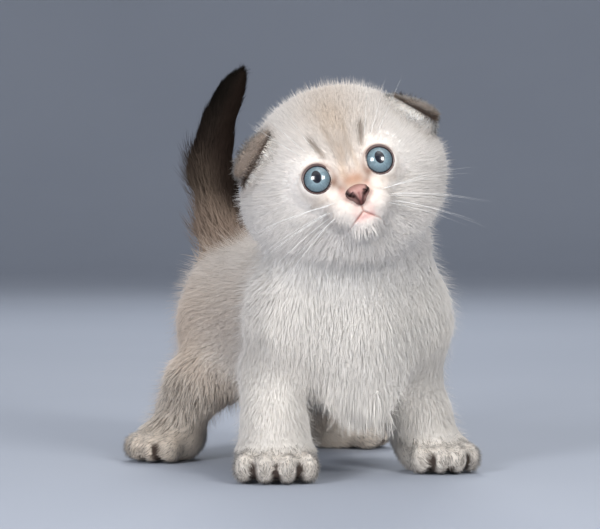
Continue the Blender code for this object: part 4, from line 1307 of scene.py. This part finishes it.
# The nose is bare pink leather, finely grained and a little moist, with two comma-shaped nostrils and
# brown edges where it meets the coat. Its nostrils, its lower edge and the groove down its middle are
# painted dark as shade in their dents.
NOSE_GRID = 0.22
NOSE_SWOLLEN = 0.2
NOSE_NARROWED = 0.95
NOSE_FRONT = -31
NOSTRIL = [(4.2, -8.6), (3.5, -10.2), (2.1, -11.2)]
NOSE_FOOT = [(1.9, -11.1), (0.9, -12.8), (0.15, -14.2)]
NOSE_CLEFT = [(0, -10.5), (0, -14)]
NOSE_PINK = (176, 136, 129)
NOSE_CROWN_BROWN = (120, 84, 72)
NOSE_EDGE_BROWN = (84, 50, 44)
NOSTRIL_SHADE = (34, 16, 14)
NOSE_FOOT_SHADE = (60, 30, 26)
NOSE_CLEFT_SHADE = (120, 66, 62)
nose_mesh = fused(swollen("nose", NOSE_SWOLLEN), NOSE_GRID, "nose_leather")
nose_local = to_head(evened(places_of(nose_mesh), edges_of(nose_mesh), 6, 0.5))
nose_local[:, 0] *= NOSE_NARROWED
nose_flat = np.column_stack([np.abs(nose_local[:, 0]), nose_local[:, 2]])
nose_front = nose_local[:, 1] < NOSE_FRONT
nostril_off = off_line(nose_flat, NOSTRIL)
foot_off = off_line(nose_flat, NOSE_FOOT)
cleft_off = off_line(nose_flat, NOSE_CLEFT)
for off, deep, wide in ((nostril_off, 0.9, 0.5), (foot_off, 0.4, 0.35), (cleft_off, 0.25, 0.4)):
    nose_local[:, 1] += np.where(nose_front, deep * near(off, wide), 0)
set_places(nose_mesh, from_head(nose_local))
nose_mesh.shade_smooth()
nose_crown = np.clip((nose_local[:, 2] + 9.4) / 2.0, 0, 1)
nose_reach = np.linalg.norm((nose_local[:, [0, 2]] - (0, -9.6)) / (4.5, 4.2), axis=1)
nose_edge = np.clip((nose_reach - 0.72) / 0.3, 0, 1)
nose_tint = np.tile(linear(NOSE_PINK), (len(nose_local), 1))
# The crown and the edge are the leather's own brown; the nostrils, the foot and the cleft are painted shade.
for colour, share in (
    (NOSE_CROWN_BROWN, 0.8 * nose_crown),
    (NOSE_EDGE_BROWN, 0.85 * nose_edge),
    (NOSTRIL_SHADE, near(nostril_off, 0.95)),
    (NOSE_FOOT_SHADE, 0.9 * near(foot_off, 0.7)),
    (NOSE_CLEFT_SHADE, 0.6 * near(cleft_off, 0.4)),
):
    nose_tint = laid_over(nose_tint, colour, share)
tinted(nose_mesh, nose_tint)
leather = coat_material("nose_leather", 0.42, 0.0, 2600.0, 0.10)
leather.node_tree.nodes["Principled BSDF"].inputs["Coat Weight"].default_value = 0.15
bumped(leather, 0.4, 0.0001)
nose_mesh.materials.append(leather)
nose = placed("nose_leather", nose_mesh)
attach(nose, "root")
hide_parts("nose")


# The whiskers are stiff white hairs in rows on each side of the muzzle, with a few over the eyes. Each
# is a thin tube that tapers to nothing and droops a little under its own weight.
WHISKER_THICK = 0.065
WHISKER_STEPS = 10
WHISKER_SIDES = 4
WHISKER_ROWS = ((-11.0, 6), (-12.8, -8), (-14.6, -22))
WHISKERS_IN_ROW = 3
WHISKER_REACH = 33.0
WHISKER_ASTRAY = 5
WHISKER_UNEVEN = 3
WHISKER_DROOP = -0.16
BROW_REACH = 21.0
BROW_DROOP = 0.05
whisker_hair, _ = surface("whisker_hair", Base_Color=(0.85, 0.84, 0.82, 1), Roughness=0.3)
whiskers = []
for side in (-1, 1):
    for level, tilt in WHISKER_ROWS:
        for step in range(WHISKERS_IN_ROW):
            begin = (side * (6.0 + step * 2.0), -29.5 + step * 1.6, level)
            turn = math.radians(tilt + chance.uniform(-WHISKER_ASTRAY, WHISKER_ASTRAY))
            aim = (side * math.cos(turn), 0.12, math.sin(turn))
            reach = WHISKER_REACH + 3.0 * step + chance.uniform(-WHISKER_UNEVEN, WHISKER_UNEVEN)
            whiskers.append((begin, aim, reach, WHISKER_DROOP))
    for step in range(WHISKERS_IN_ROW):
        begin = (side * (9.0 + step * 2.2), -24.0 + step, 8.5)
        aim = (side * (0.35 + 0.25 * step), -0.35, 0.9)
        whiskers.append((begin, aim, BROW_REACH + 2.0 * step, BROW_DROOP))
whisker_points = []
whisker_faces = []
for begin, aim, reach, droop in whiskers:
    aim = Vector(aim).normalized()
    across = aim.cross(Vector((0, 1, 0.3))).normalized()
    upward = aim.cross(across)
    first = len(whisker_points)
    for step in range(WHISKER_STEPS + 1):
        far = step / WHISKER_STEPS
        centre = Vector(begin) + aim * reach * far + Vector((0, 0.08, droop)) * reach * far * far
        thick = WHISKER_THICK * (1.02 - far)
        for stop in range(WHISKER_SIDES):
            roll = stop / WHISKER_SIDES * 2 * math.pi
            around = across * math.cos(roll) + upward * math.sin(roll)
            whisker_points.append(tuple(centre + around * thick))
    for step in range(WHISKER_STEPS):
        low = first + step * WHISKER_SIDES
        high = low + WHISKER_SIDES
        for stop in range(WHISKER_SIDES):
            after = (stop + 1) % WHISKER_SIDES
            whisker_faces.append((low + stop, low + after, high + after, high + stop))
    last = first + WHISKER_STEPS * WHISKER_SIDES
    whisker_faces.append(tuple(reversed(range(first, first + WHISKER_SIDES))))
    whisker_faces.append(tuple(range(last, last + WHISKER_SIDES)))
whisker_places = from_head(np.array(whisker_points))
whisker_piece = placed("whiskers", closed_mesh("whiskers", whisker_places, whisker_faces, whisker_hair))
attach(whisker_piece, "root")
